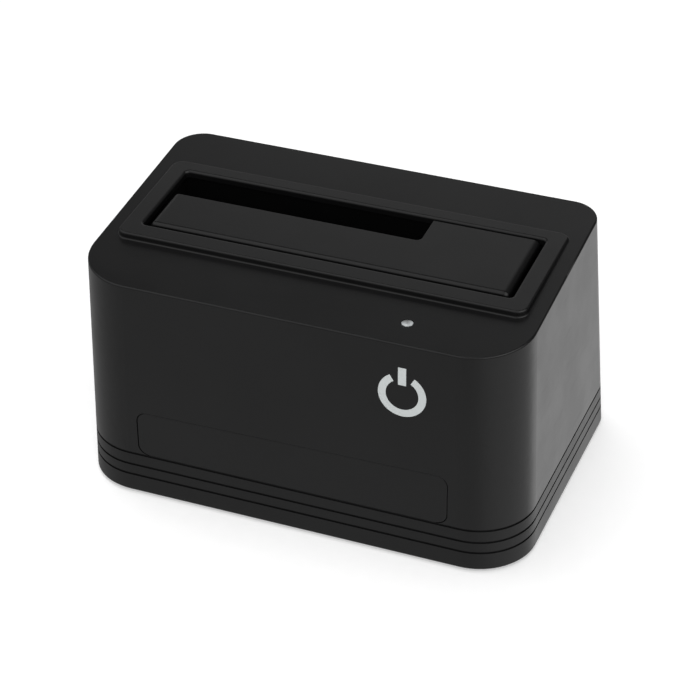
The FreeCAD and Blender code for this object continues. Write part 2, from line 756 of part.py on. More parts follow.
def inlay_solids(grow):
    """A broken ring and an upright bar in the front face."""
    depth = INLAY_DEPTH + grow
    ring = rod_y(SYMBOL_X, SYMBOL_Z, SYMBOL_OUTER_RADIUS + grow, FRONT_Y, FRONT_Y + depth)
    hole_y0 = FRONT_Y - OVERRUN
    hole_y1 = FRONT_Y + depth + OVERRUN
    ring = ring.cut(rod_y(SYMBOL_X, SYMBOL_Z, SYMBOL_INNER_RADIUS - grow, hole_y0, hole_y1))
    ring = ring.cut(symbol_sector(SYMBOL_OUTER_RADIUS, depth))
    half = SYMBOL_BAR_WIDTH / 2 + grow
    bar = box(
        SYMBOL_X - half, SYMBOL_X + half, FRONT_Y, FRONT_Y + depth,
        SYMBOL_Z + SYMBOL_BAR_BOTTOM - grow, SYMBOL_Z + SYMBOL_BAR_TOP + grow)
    return group([ring, bar])


# Tray under the housing

def tray_tongue():
    """The lip of the tray that stands up inside the foot of the housing."""
    inset = WALL - TONGUE_THICKNESS
    top = TRAY_Z1 + TONGUE_HEIGHT
    ring = body_solid(TRAY_Z1 - OVERRUN, top, inset)
    ring = ring.cut(body_solid(TRAY_Z1 - 2 * OVERRUN, top + OVERRUN, WALL))
    front = PANEL_WIDTH / 2 + PANEL_END_GAP + TONGUE_GAP
    ring = ring.cut(box(-front, front, FRONT_Y - OVERRUN, 0, HOUSING_Z0, top + OVERRUN))
    left = SWITCH_X - BUTTON_RADIUS - TONGUE_END_GAP
    right = JACK_X + JACK_WIDTH / 2 + TONGUE_END_GAP
    return ring.cut(box(left, right, 0, BACK_Y + OVERRUN, HOUSING_Z0, top + OVERRUN))


def tray_shoulder():
    """The step that the housing stands on, at the bottom of the upper groove."""
    ring = body_solid(TRAY_Z1 - OVERRUN, HOUSING_Z0, GROOVE_DEPTH)
    return ring.cut(body_solid(TRAY_Z1 - 2 * OVERRUN, HOUSING_Z0 + OVERRUN, WALL))


def groove_ring(z):
    ring = body_solid(z - GROOVE_WIDTH / 2, z + GROOVE_WIDTH / 2, -OVERRUN)
    return ring.cut(body_solid(z - GROOVE_WIDTH, z + GROOVE_WIDTH, GROOVE_DEPTH))


def vent_slots():
    slots = []
    for i in range(VENT_COUNT):
        x = (i - (VENT_COUNT - 1) / 2) * VENT_SPACING
        half = VENT_WIDTH / 2
        slots.append(round_block(
            x - half, x + half, -VENT_LENGTH / 2, VENT_LENGTH / 2, VENT_WIDTH * ROUND_END,
            -OVERRUN, FLOOR + OVERRUN))
    return slots


def base_tray():
    chamfer = BOTTOM_EDGE_CHAMFER
    tray = body_solid(chamfer, TRAY_Z1, 0)
    tray = tray.fuse(Part.makeLoft([body_wire(0, chamfer), body_wire(chamfer, 0)], True, True))
    tray = tray.cut(body_solid(FLOOR, TRAY_Z1 + OVERRUN, WALL))
    columns = [rod_z(x, y, CASE_POST_RADIUS, FLOOR / 2, PARTING_Z) for x, y in case_screw_places()]
    tray = join([tray, tray_shoulder(), tray_tongue()] + columns)
    cutters = [groove_ring(LOWER_GROOVE_Z), groove_ring(MIDDLE_GROOVE_Z)] + vent_slots()
    for x, y in case_screw_places():
        hole = CASE_SCREW_RADIUS + SCREW_CLEARANCE
        cutters.append(rod_z(x, y, hole, -OVERRUN, PARTING_Z + OVERRUN))
        head = CASE_SCREW_HEAD_RADIUS + SCREW_CLEARANCE
        cutters.append(rod_z(x, y, head, -OVERRUN, CASE_COUNTERBORE_DEPTH))
    for x, y in foot_places():
        cutters.append(rod_z(x, y, FOOT_RADIUS + FOOT_GAP, -OVERRUN, FOOT_RECESS))
    return tray.cut(cutters)


def rubber_feet():
    feet = []
    for x, y in foot_places():
        foot = rod_z(x, y, FOOT_RADIUS, -FOOT_STAND, FOOT_RECESS)
        rim = edges_where(foot, lambda e: e.Closed and middle(e).z < 0)
        feet.append(foot.makeFillet(FOOT_EDGE_ROUND, rim))
    return group(feet)


def case_screws():
    return group(
        screw_up(x, y, CASE_COUNTERBORE_DEPTH, CASE_SCREW_RADIUS,
                 PARTING_Z - CASE_COUNTERBORE_DEPTH + CASE_SCREW_GRIP,
                 CASE_SCREW_HEAD_RADIUS, CASE_SCREW_HEAD_HEIGHT)
        for x, y in case_screw_places())


# Flap and its hinge

def hinge_z():
    """Height of the hinge axis: the barrels run just under the skin of the platform."""
    ceiling = platform_z(HINGE_Y - HINGE_BARREL_RADIUS) - PLATFORM_SKIN
    return ceiling - MOVING_GAP - HINGE_BARREL_RADIUS


def hinge_middles():
    return [-HINGE_SPACING / 2, HINGE_SPACING / 2]


def flap_step():
    """The inner corner of the L, where the cut-out for the narrow drive ends."""
    step_x = SLOT_X0 + SMALL_DRIVE_WIDTH + CUTOUT_WIDTH_CLEARANCE
    step_y = SLOT_Y1 - SMALL_DRIVE_THICKNESS - CUTOUT_DEPTH_CLEARANCE
    return step_x, step_y


def flap_prism():
    """An upright prism over the L of the flap, with only its inner corner rounded."""
    step_x, step_y = flap_step()
    low = FRONT_HEIGHT / 2
    prism = polygon([
        V(-FLAP_HALF, FLAP_Y0, low), V(FLAP_HALF, FLAP_Y0, low), V(FLAP_HALF, FLAP_Y1, low),
        V(step_x, FLAP_Y1, low), V(step_x, step_y, low), V(-FLAP_HALF, step_y, low),
    ]).extrude(V(0, 0, BODY_TOP - low))
    inner = edges_where(prism, lambda e: abs(middle(e).x - step_x) < NEAR
                        and abs(middle(e).y - step_y) < NEAR)
    return prism.makeFillet(CUTOUT_CORNER_RADIUS, inner)


def outer_corner(edge):
    """Whether an edge of the prism is one of its upright outer corners."""
    point = middle(edge)
    upright = abs(point.z - (FRONT_HEIGHT / 2 + BODY_TOP) / 2) < NEAR
    return upright and (abs(abs(point.x) - FLAP_HALF) < NEAR or abs(point.y - FLAP_Y1) < NEAR)


def flap_plate():
    """The plate, rounded down at its rims, with a wall under each end."""
    drop = FLAP_BELOW_PLATFORM
    prism = flap_prism()
    step_y = flap_step()[1]
    top = on_surface(platform_z, drop)
    plate = prism.common(below(platform_z, drop)).cut(below(platform_z, drop + FLAP_END_DEPTH))
    ends = edges_where(plate, lambda e: top(e) and abs(abs(middle(e).x) - FLAP_HALF) < NEAR)
    plate = plate.makeFillet(FLAP_END_ROUND, ends)
    nose = edges_where(plate, lambda e: top(e) and abs(middle(e).y - FLAP_Y0) < NEAR)
    plate = plate.makeFillet(FLAP_NOSE_ROUND, nose)
    back = edges_where(plate, lambda e: top(e) and (
        abs(middle(e).y - FLAP_Y1) < NEAR or abs(middle(e).y - step_y) < NEAR))
    plate = plate.makeFillet(FLAP_BACK_ROUND, back)
    plate = plate.common(prism.makeFillet(FLAP_CORNER_RADIUS, edges_where(prism, outer_corner)))
    inside = FLAP_HALF - FLAP_END_WALL
    room = box(-inside, inside, FLAP_Y0 - OVERRUN, FLAP_Y1 + OVERRUN, 0, BODY_TOP)
    return plate.cut(room.common(below(platform_z, drop + FLAP_THICKNESS)))


def flap_ribs():
    """Stiffening ribs under the flap, running from front to back."""
    ribs = []
    y0 = HINGE_Y + HINGE_ARM_REACH + FLAP_RIB_END_MARGIN
    y1 = flap_step()[1] - FLAP_RIB_END_MARGIN
    under = FLAP_BELOW_PLATFORM + FLAP_THICKNESS
    for i in range(FLAP_RIB_COUNT):
        x = (i - (FLAP_RIB_COUNT - 1) / 2) * FLAP_RIB_SPACING
        rib = box(x - FLAP_RIB_WIDTH / 2, x + FLAP_RIB_WIDTH / 2, y0, y1, FRONT_HEIGHT / 2, BODY_TOP)
        rib = rib.common(below(platform_z, under - FLAP_THICKNESS / 2))
        ribs.append(rib.cut(below(platform_z, under + FLAP_RIB_HEIGHT)))
    return ribs


def flap_arm(x):
    """A cranked arm from the flap down to its hinge barrel."""
    axis_z = hinge_z()
    front = FLAP_Y0
    back = HINGE_Y + HINGE_ARM_REACH
    under = FLAP_BELOW_PLATFORM + (FLAP_NOSE_ROUND + FLAP_THICKNESS) / 2
    half = HINGE_BARREL_WIDTH / 2
    face = polygon([
        V(x - half, HINGE_Y, axis_z - HINGE_BARREL_RADIUS),
        V(x - half, front, axis_z - HINGE_BARREL_RADIUS),
        V(x - half, back, platform_z(back) - under),
        V(x - half, front, platform_z(front) - under),
        V(x - half, front, axis_z + HINGE_ARM_DROP),
        V(x - half, HINGE_Y, axis_z + HINGE_ARM_DROP),
    ])
    arm = face.extrude(V(HINGE_BARREL_WIDTH, 0, 0))
    return arm.fuse(rod_x(HINGE_Y, axis_z, HINGE_BARREL_RADIUS, x - half, x + half))


def slot_flap():
    pieces = [flap_plate()] + flap_ribs()
    for x in hinge_middles():
        pieces.append(flap_arm(x))
    flap = join(pieces)
    bore = HINGE_PIN_RADIUS + HINGE_RUNNING_GAP
    return flap.cut(rod_x(HINGE_Y, hinge_z(), bore, SLOT_X0, SLOT_X1))


def hinge_reach():
    """How far the outer lugs reach from the middle of the flap."""
    return HINGE_SPACING / 2 + HINGE_BARREL_WIDTH / 2 + MOVING_GAP + HINGE_LUG_THICKNESS


def flap_hinge_pin():
    half = hinge_reach() + HINGE_PIN_OVERHANG
    pin = rod_x(HINGE_Y, hinge_z(), HINGE_PIN_RADIUS, -half, half)
    return pin.makeChamfer(HINGE_PIN_CHAMFER, edges_where(pin, lambda e: e.Closed))


def biarc_edges(p0, t0, p1, t1):
    """Two arcs that leave p0 along t0 and reach p1 along t1."""
    chord = p1 - p0
    along = chord.dot(t0 + t1)
    spread = 2 * (1 - t0.dot(t1))
    reach = (math.sqrt(along * along + spread * chord.dot(chord)) - along) / spread
    q0 = p0 + t0 * reach
    q1 = p1 - t1 * reach
    joint = (q0 + q1) * 0.5
    edges = []
    for start, corner, end in ((p0, q0, joint), (joint, q1, p1)):
        flat = (start + end) * 0.5
        half_chord = (end - start).Length / 2
        rise = (corner - flat).Length
        angle = math.atan2(rise, half_chord)
        sagitta = half_chord * math.tan(angle / 2)
        edges.append(arc_through(start, flat + (corner - flat) * (sagitta / rise), end))
    return edges


def spring_point(angle, x_start, angle_start):
    radians = math.radians(angle)
    return V(
        x_start + SPRING_PITCH * (angle - angle_start) / 360,
        HINGE_Y + SPRING_MEAN_RADIUS * math.cos(radians),
        hinge_z() + SPRING_MEAN_RADIUS * math.sin(radians))


def spring_tangent(angle):
    radians = math.radians(angle)
    rise = SPRING_PITCH / (2 * math.pi)
    tangent = V(rise, -SPRING_MEAN_RADIUS * math.sin(radians), SPRING_MEAN_RADIUS * math.cos(radians))
    return tangent.normalize()


def flap_spring():
    """A coil round the pin, with a tail on the wall and an arm under the flap."""
    lug = -HINGE_SPACING / 2 + HINGE_BARREL_WIDTH / 2 + MOVING_GAP + HINGE_LUG_THICKNESS
    x_start = lug + SPRING_SIDE_GAP + SPRING_WIRE_RADIUS
    first = SPRING_TAIL_ANGLE - 90
    last = SPRING_ARM_ANGLE - 90 + 360 * SPRING_TURNS
    steps = 4 * SPRING_TURNS
    angles = [first + (last - first) * i / steps for i in range(steps + 1)]
    points = [spring_point(a, x_start, first) for a in angles]
    tangents = [spring_tangent(a) for a in angles]
    edges = [Part.makeLine(points[0] - tangents[0] * SPRING_TAIL_LENGTH, points[0])]
    for i in range(steps):
        edges.extend(biarc_edges(points[i], tangents[i], points[i + 1], tangents[i + 1]))
    edges.append(Part.makeLine(points[-1], points[-1] + tangents[-1] * SPRING_ARM_LENGTH))
    path = Part.Wire(edges)
    start = path.Edges[0].valueAt(path.Edges[0].FirstParameter)
    circle = Part.Wire(Part.makeCircle(SPRING_WIRE_RADIUS, start, tangents[0]))
    print("flap spring: gap between turns %.2f mm" % (SPRING_PITCH - 2 * SPRING_WIRE_RADIUS))
    return path.makePipeShell([circle], True, False)


# Well

def well_tab(x, y):
    """A screw tab that reaches out from the well to a post of the housing."""
    inner = WELL_Y0 if y < 0 else WELL_Y1
    z0 = WELL_TAB_Z
    z1 = WELL_TAB_Z + WELL_TAB_THICKNESS
    y0 = min(inner, y)
    y1 = max(inner, y)
    arm = box(x - WELL_TAB_RADIUS, x + WELL_TAB_RADIUS, y0, y1, z0, z1)
    return arm.fuse(rod_z(x, y, WELL_TAB_RADIUS, z0, z1))


def well_lugs():
    """Lugs on the front wall of the well that hold the hinge pin."""
    lugs = []
    axis_z = hinge_z()
    reach = HINGE_BARREL_WIDTH / 2 + MOVING_GAP
    for x in hinge_middles():
        for x0 in (x - reach - HINGE_LUG_THICKNESS, x + reach):
            x1 = x0 + HINGE_LUG_THICKNESS
            y1 = HINGE_Y + HINGE_BARREL_RADIUS
            root_top = top_z(PLATFORM_Y0) - TOP_WALL - WELL_TOP_GAP
            root = box(x0, x1, WELL_Y0 - WELL_WALL / 2, WELL_Y0, axis_z - HINGE_LUG_DEPTH, root_top)
            lug = box(x0, x1, WELL_Y0, y1, axis_z - HINGE_LUG_DEPTH, axis_z)
            top = box(x0, x1, WELL_Y0, HINGE_Y, axis_z - HINGE_PIN_RADIUS, axis_z + HINGE_BARREL_RADIUS)
            lugs.append(lug.fuse([root, top, rod_x(HINGE_Y, axis_z, HINGE_BARREL_RADIUS, x0, x1)]))
    return lugs


def well_ribs():
    """Guide ribs for the drive, stop ribs for the folded flap and rests on the floor."""
    ribs = []
    top = platform_z(SLOT_Y0) - WELL_RIB_BELOW_TOP
    half = WELL_RIB_WIDTH / 2
    back = WELL_Y1 - WELL_BACK_RIB_HEIGHT
    stop = folded_flap_y() - MOVING_GAP
    for side in (-1, 1):
        for spacing in WELL_BACK_RIB_SPACINGS:
            x = side * spacing / 2
            ribs.append(box(x - half, x + half, back, WELL_Y1 + half, WELL_Z0, top))
        y = (SLOT_Y0 + SLOT_Y1 + side * WELL_SIDE_RIB_SPACING) / 2
        left = WELL_X0 + WELL_SIDE_RIB_HEIGHT
        right = WELL_X1 - WELL_SIDE_RIB_HEIGHT
        ribs.append(box(WELL_X0 - half, left, y - half, y + half, WELL_Z0, top))
        ribs.append(box(right, WELL_X1 + half, y - half, y + half, WELL_Z0, top))
        x = side * WELL_STOP_RIB_SPACING / 2
        ribs.append(box(x - half, x + half, WELL_Y0 - half, stop, WELL_Z0, top))
    return ribs


def folded_flap_y():
    """Where the underside of the flap's plate lies when the flap hangs upright."""
    under = FLAP_BELOW_PLATFORM + FLAP_THICKNESS
    slope = (platform_z(PLATFORM_Y1) - platform_z(PLATFORM_Y0)) / (PLATFORM_Y1 - PLATFORM_Y0)
    height = (platform_z(HINGE_Y) - under - hinge_z()) / math.sqrt(1 + slope * slope)
    return HINGE_Y + height


def well_rests():
    """Low pads on the floor that the end of the drive comes down to."""
    pads = []
    for x in (WELL_X0 + WELL_REST_INSET, WELL_X1 - WELL_REST_INSET - WELL_REST_WIDTH):
        pads.append(box(
            x, x + WELL_REST_WIDTH, SLOT_Y0 + WELL_REST_INSET, SLOT_Y1 - WELL_REST_INSET,
            WELL_Z0, WELL_Z1 + WELL_REST_HEIGHT))
    return pads


def drive_well():
    wall = WELL_WALL
    outer = box(WELL_X0 - wall, WELL_X1 + wall, WELL_Y0 - wall, WELL_Y1 + wall, WELL_Z0, BODY_TOP)
    inner = box(WELL_X0, WELL_X1, WELL_Y0, WELL_Y1, WELL_Z1, BODY_TOP + OVERRUN)
    shell = outer.cut(inner).common(cavity_solid(WELL_TOP_GAP, PARTING_Z))
    pieces = [shell] + well_lugs() + well_ribs() + well_rests()
    for x, y in well_screw_places():
        pieces.append(well_tab(x, y).cut(inner))
    for x, y in board_screw_places():
        pieces.append(rod_z(x, y, WELL_FOOT_RADIUS, BOARD_Z1, WELL_Z0 + WELL_FLOOR / 2))
    well = join(pieces)
    gap = WELL_WINDOW_GAP
    half = CONNECTOR_LENGTH / 2 + gap
    window = box(
        CONNECTOR_OFFSET_X - half, CONNECTOR_OFFSET_X + half,
        CONNECTOR_Y - CONNECTOR_WIDTH / 2 - gap, CONNECTOR_Y + CONNECTOR_WIDTH / 2 + gap,
        WELL_Z0 - OVERRUN, WELL_Z1 + OVERRUN)
    cutters = [window]
    bore = HINGE_PIN_RADIUS + HINGE_RUNNING_GAP
    cutters.append(rod_x(HINGE_Y, hinge_z(), bore, WELL_X0, WELL_X1))
    for x, y in well_screw_places():
        hole = SMALL_SCREW_RADIUS + SCREW_CLEARANCE
        top = WELL_TAB_Z + WELL_TAB_THICKNESS + OVERRUN
        cutters.append(rod_z(x, y, hole, WELL_TAB_Z - OVERRUN, top))
    for x, y in board_screw_places():
        top = BOARD_Z1 + SMALL_SCREW_GRIP + SCREW_END_GAP
        hole = SMALL_SCREW_RADIUS + SCREW_THREAD_GAP
        cutters.append(rod_z(x, y, hole, BOARD_Z1 - OVERRUN, top))
    return well.cut(cutters)


def well_screws():
    return group(
        screw_up(x, y, WELL_TAB_Z, SMALL_SCREW_RADIUS, WELL_TAB_THICKNESS + WELL_SCREW_GRIP,
                 SMALL_SCREW_HEAD_RADIUS, SMALL_SCREW_HEAD_HEIGHT)
        for x, y in well_screw_places())


# Main board and what stands on it

def main_board():
    y1 = back_wall_y(BOARD_Z1) - WALL - BOARD_BACK_GAP
    board = round_block(-BOARD_HALF, BOARD_HALF, BOARD_Y0, y1, BOARD_CORNER_RADIUS, BOARD_Z0, BOARD_Z1)
    holes = []
    for x, y in board_screw_places():
        hole = SMALL_SCREW_RADIUS + SCREW_CLEARANCE
        holes.append(rod_z(x, y, hole, BOARD_Z0 - OVERRUN, BOARD_Z1 + OVERRUN))
    return board.cut(holes)


def board_screws():
    return group(
        screw_up(x, y, BOARD_Z0, SMALL_SCREW_RADIUS, BOARD_THICKNESS + SMALL_SCREW_GRIP,
                 SMALL_SCREW_HEAD_RADIUS, SMALL_SCREW_HEAD_HEIGHT)
        for x, y in board_screw_places())


def connector_slots():
    """Left end and length of the signal slot and of the power slot."""
    total = SIGNAL_SLOT_LENGTH + CONNECTOR_SLOT_SPACING + POWER_SLOT_LENGTH
    start = CONNECTOR_OFFSET_X - total / 2
    return [
        (start, SIGNAL_SLOT_LENGTH),
        (start + SIGNAL_SLOT_LENGTH + CONNECTOR_SLOT_SPACING, POWER_SLOT_LENGTH),
    ]


def sata_connector_body():
    z0 = BOARD_Z1
    z1 = BOARD_Z1 + CONNECTOR_HEIGHT
    half = CONNECTOR_LENGTH / 2
    body = box(
        CONNECTOR_OFFSET_X - half, CONNECTOR_OFFSET_X + half,
        CONNECTOR_Y - CONNECTOR_WIDTH / 2, CONNECTOR_Y + CONNECTOR_WIDTH / 2, z0, z1)
    cutters = []
    width = CONNECTOR_SLOT_WIDTH / 2
    floor = z1 - CONNECTOR_SLOT_DEPTH
    for x0, length in connector_slots():
        x1 = x0 + length
        cutters.append(box(x0, x1, CONNECTOR_Y - width, CONNECTOR_Y + width, floor, z1 + OVERRUN))
        hook = CONNECTOR_Y + width + CONNECTOR_HOOK_LENGTH
        x1 = x0 + CONNECTOR_HOOK_WIDTH
        cutters.append(box(x0, x1, CONNECTOR_Y, hook, floor, z1 + OVERRUN))
    return body.cut(cutters)


def contact_places():
    places = []
    for (x0, length), count in zip(connector_slots(), (SIGNAL_CONTACTS, POWER_CONTACTS)):
        middle_x = x0 + length / 2 + CONTACT_SHIFT
        for i in range(count):
            places.append(middle_x + (i - (count - 1) / 2) * CONTACT_PITCH)
    return places


def sata_contacts():
    """Flat springs that stand on the front wall of each slot."""
    floor = BOARD_Z1 + CONNECTOR_HEIGHT - CONNECTOR_SLOT_DEPTH
    front = CONNECTOR_Y - CONNECTOR_SLOT_WIDTH / 2
    blades = []
    for x in contact_places():
        half = CONTACT_WIDTH / 2
        back = front + CONTACT_THICKNESS
        blades.append(box(x - half, x + half, front, back, floor, floor + CONTACT_HEIGHT))
    return group(blades)


def on_board(x, y, length, width, height):
    return box(
        x - length / 2, x + length / 2, y - width / 2, y + width / 2, BOARD_Z1, BOARD_Z1 + height)


def bridge_chip():
    body = on_board(CHIP_X, CHIP_Y, CHIP_SIZE, CHIP_SIZE, CHIP_HEIGHT)
    leads = []
    half = CHIP_LEAD_WIDTH / 2
    reach = CHIP_SIZE / 2 + CHIP_LEAD_LENGTH
    for i in range(CHIP_LEADS_PER_SIDE):
        offset = (i - (CHIP_LEADS_PER_SIDE - 1) / 2) * CHIP_LEAD_PITCH
        x = CHIP_X + offset
        y = CHIP_Y + offset
        z0 = BOARD_Z1
        z1 = BOARD_Z1 + CHIP_LEAD_THICKNESS
        leads.append(box(CHIP_X - reach, CHIP_X + reach, y - half, y + half, z0, z1))
        leads.append(box(x - half, x + half, CHIP_Y - reach, CHIP_Y + reach, z0, z1))
    return join([body] + leads)


def flash_chip():
    return on_board(FLASH_X, FLASH_Y, FLASH_LENGTH, FLASH_WIDTH, FLASH_HEIGHT)


def electrolytic_capacitors():
    cans = []
    for side in (-1, 1):
        y = CAPACITOR_Y + side * CAPACITOR_SPACING / 2
        can = rod_z(CAPACITOR_X, y, CAPACITOR_RADIUS, BOARD_Z1, BOARD_Z1 + CAPACITOR_HEIGHT)
        top = edges_where(can, lambda e: e.Closed and middle(e).z > BOARD_Z1 + CAPACITOR_BASE_HEIGHT)
        can = can.makeFillet(CAPACITOR_EDGE_ROUND, top)
        base = on_board(CAPACITOR_X, y, CAPACITOR_BASE, CAPACITOR_BASE, CAPACITOR_BASE_HEIGHT)
        cans.append(join([can, base]))
    return group(cans)


def power_inductor():
    x0 = INDUCTOR_X - INDUCTOR_SIZE / 2
    y0 = INDUCTOR_Y - INDUCTOR_SIZE / 2
    return round_block(
        x0, x0 + INDUCTOR_SIZE, y0, y0 + INDUCTOR_SIZE, INDUCTOR_CORNER_RADIUS,
        BOARD_Z1, BOARD_Z1 + INDUCTOR_HEIGHT)


def crystal():
    x0 = CRYSTAL_X - CRYSTAL_LENGTH / 2
    y0 = CRYSTAL_Y - CRYSTAL_WIDTH / 2
    return round_block(
        x0, x0 + CRYSTAL_LENGTH, y0, y0 + CRYSTAL_WIDTH, CRYSTAL_WIDTH * ROUND_END,
        BOARD_Z1, BOARD_Z1 + CRYSTAL_HEIGHT)


def voltage_regulators():
    places = [REGULATOR_X - REGULATOR_SPACING / 2, REGULATOR_X + REGULATOR_SPACING / 2]
    return group(
        on_board(x, REGULATOR_Y, REGULATOR_LENGTH, REGULATOR_WIDTH, REGULATOR_HEIGHT) for x in places)


def chip_passives():
    pieces = []
    for row in range(PASSIVE_ROWS):
        for column in range(PASSIVE_COLUMNS):
            x = PASSIVE_X + column * PASSIVE_SPACING_X
            y = PASSIVE_Y + row * PASSIVE_SPACING_Y
            pieces.append(on_board(x, y, PASSIVE_LENGTH, PASSIVE_WIDTH, PASSIVE_HEIGHT))
    return group(pieces)


# Status light

def status_led():
    body = on_board(LIGHT_X, LIGHT_Y, LED_WIDTH, LED_DEPTH, LED_HEIGHT)
    lens_z = BOARD_Z1 + LED_HEIGHT - LED_LENS_SINK
    dome = Part.makeSphere(LED_LENS_RADIUS, V(LIGHT_X, LIGHT_Y, lens_z))
    upper = box(
        LIGHT_X - LED_WIDTH, LIGHT_X + LED_WIDTH, LIGHT_Y - LED_DEPTH, LIGHT_Y + LED_DEPTH,
        BOARD_Z1 + LED_HEIGHT / 2, BOARD_Z1 + 2 * LED_HEIGHT + LED_LENS_RADIUS)
    return join([body, dome.common(upper)])


def light_pipe():
    """A clear rod from the status light up to the outer top, with a domed end."""
    z0 = BOARD_Z1 + LED_HEIGHT + LED_LENS_RADIUS + MOVING_GAP
    z1 = top_z(LIGHT_Y)
    rod = rod_z(LIGHT_X, LIGHT_Y, LIGHT_PIPE_RADIUS, z0, z1)
    r = LIGHT_PIPE_RADIUS
    dome_radius = (r * r + LIGHT_PIPE_DOME * LIGHT_PIPE_DOME) / (2 * LIGHT_PIPE_DOME)
    dome = Part.makeSphere(dome_radius, V(LIGHT_X, LIGHT_Y, z1 + LIGHT_PIPE_DOME - dome_radius))
    dome = dome.common(rod_z(LIGHT_X, LIGHT_Y, r, z1 - LIGHT_PIPE_DOME, z1 + 2 * LIGHT_PIPE_DOME))
    collar_z = z1 - TOP_WALL - LIGHT_SLEEVE_LENGTH - MOVING_GAP
    collar = rod_z(LIGHT_X, LIGHT_Y, LIGHT_COLLAR_RADIUS, collar_z - LIGHT_COLLAR_HEIGHT, collar_z)
    return join([rod, dome, collar])


# Rear sockets

def chamfered_opening(x, z0, width, height, chamfer, y0, y1):
    """A block along Y with its two upper edges cut off."""
    half = width / 2
    face = polygon([
        V(x - half, y0, z0),
        V(x + half, y0, z0),
        V(x + half, y0, z0 + height - chamfer),
        V(x + half - chamfer, y0, z0 + height),
        V(x - half + chamfer, y0, z0 + height),
        V(x - half, y0, z0 + height - chamfer),
    ])
    return face.extrude(V(0, y1 - y0, 0))


def usb_socket_shell():
    y1 = socket_face_y(USB_HEIGHT)
    y0 = y1 - USB_LENGTH
    z0 = USB_Z0
    z1 = USB_Z0 + USB_HEIGHT
    half = USB_WIDTH / 2
    outer = box(USB_X - half, USB_X + half, y0, y1, z0, z1)
    inner = box(
        USB_X - half + USB_SHEET, USB_X + half - USB_SHEET, y0 + USB_SHEET, y1 - USB_SHEET,
        z0 + USB_SHEET, z1 - USB_SHEET)
    return outer.cut([inner, usb_opening()])


def usb_opening():
    y1 = socket_face_y(USB_HEIGHT)
    low = USB_Z0 + (USB_HEIGHT - USB_OPENING_HEIGHT) / 2
    return chamfered_opening(
        USB_X, low, USB_OPENING_WIDTH, USB_OPENING_HEIGHT, USB_OPENING_CHAMFER,
        y1 - USB_OPENING_DEPTH, y1 + OVERRUN)


def usb_socket_insulator():
    y1 = socket_face_y(USB_HEIGHT)
    sheet = USB_SHEET + SOLDER_GAP
    half = USB_WIDTH / 2 - sheet
    body = box(
        USB_X - half, USB_X + half, y1 - USB_LENGTH + sheet, y1 - sheet,
        USB_Z0 + sheet, USB_Z0 + USB_HEIGHT - sheet)
    body = body.cut(usb_opening())
    centre = USB_Z0 + USB_HEIGHT / 2
    tongue = box(
        USB_X - USB_TONGUE_WIDTH / 2, USB_X + USB_TONGUE_WIDTH / 2,
        y1 - USB_OPENING_DEPTH - sheet, y1 - USB_TONGUE_SETBACK,
        centre - USB_TONGUE_HEIGHT / 2, centre + USB_TONGUE_HEIGHT / 2)
    return join([body, tongue])


def usb_socket_contacts():
    y1 = socket_face_y(USB_HEIGHT)
    centre = USB_Z0 + USB_HEIGHT / 2
    strips = []
    for side in (-1, 1):
        for offset in (-USB_CONTACT_SPACING / 2, USB_CONTACT_SPACING / 2):
            x = USB_X + offset
            face = centre + side * USB_TONGUE_HEIGHT / 2
            low = min(face, face + side * USB_CONTACT_THICKNESS)
            strips.append(box(
                x - USB_CONTACT_WIDTH / 2, x + USB_CONTACT_WIDTH / 2,
                y1 - USB_OPENING_DEPTH, y1 - 2 * USB_TONGUE_SETBACK, low, low + USB_CONTACT_THICKNESS))
    return group(strips)


def jack_z():
    return BOARD_Z1 + SOLDER_GAP + JACK_HEIGHT / 2


def dc_jack_body():
    y1 = socket_face_y(JACK_HEIGHT)
    half = JACK_WIDTH / 2
    z0 = BOARD_Z1 + SOLDER_GAP
    body = box(JACK_X - half, JACK_X + half, y1 - JACK_LENGTH, y1, z0, z0 + JACK_HEIGHT)
    bore = rod_y(JACK_X, jack_z(), JACK_BORE_RADIUS, y1 - JACK_BORE_DEPTH, y1 + OVERRUN)
    floor = y1 - JACK_BORE_DEPTH
    seat = rod_y(JACK_X, jack_z(), JACK_PIN_TAIL_RADIUS, floor - JACK_PIN_TAIL_LENGTH, y1)
    return body.cut([bore, seat])


def dc_jack_pin():
    """The pin that the plug slides over, on a thinner tail set in the body."""
    y1 = socket_face_y(JACK_HEIGHT)
    floor = y1 - JACK_BORE_DEPTH
    shoulder = floor + JACK_PIN_NECK_LENGTH
    pin = rod_y(JACK_X, jack_z(), JACK_PIN_RADIUS, shoulder, y1 - JACK_PIN_SETBACK)
    tip = edges_where(pin, lambda e: e.Closed and middle(e).y > shoulder + JACK_PIN_RADIUS)
    pin = pin.makeFillet(JACK_PIN_TIP_ROUND, tip)
    tail = rod_y(JACK_X, jack_z(), JACK_PIN_TAIL_RADIUS, floor - JACK_PIN_TAIL_LENGTH, shoulder)
    return join([pin, tail])


def button_z():
    return BOARD_Z1 + SOLDER_GAP + SWITCH_SIZE / 2


def button_face_y():
    return back_wall_y(button_z()) + BUTTON_PROUD


def power_switch_body():
    y1 = button_face_y() - BUTTON_LENGTH - SWITCH_TO_CAP
    half = SWITCH_SIZE / 2
    z0 = BOARD_Z1 + SOLDER_GAP
    body = box(SWITCH_X - half, SWITCH_X + half, y1 - SWITCH_LENGTH, y1, z0, z0 + SWITCH_SIZE)
    hole = PLUNGER_SIZE / 2 + PLUNGER_GAP
    depth = PLUNGER_IN_BODY + BUTTON_TRAVEL + PLUNGER_GAP
    z = button_z()
    x0 = SWITCH_X - hole
    x1 = SWITCH_X + hole
    return body.cut(box(x0, x1, y1 - depth, y1 + OVERRUN, z - hole, z + hole))


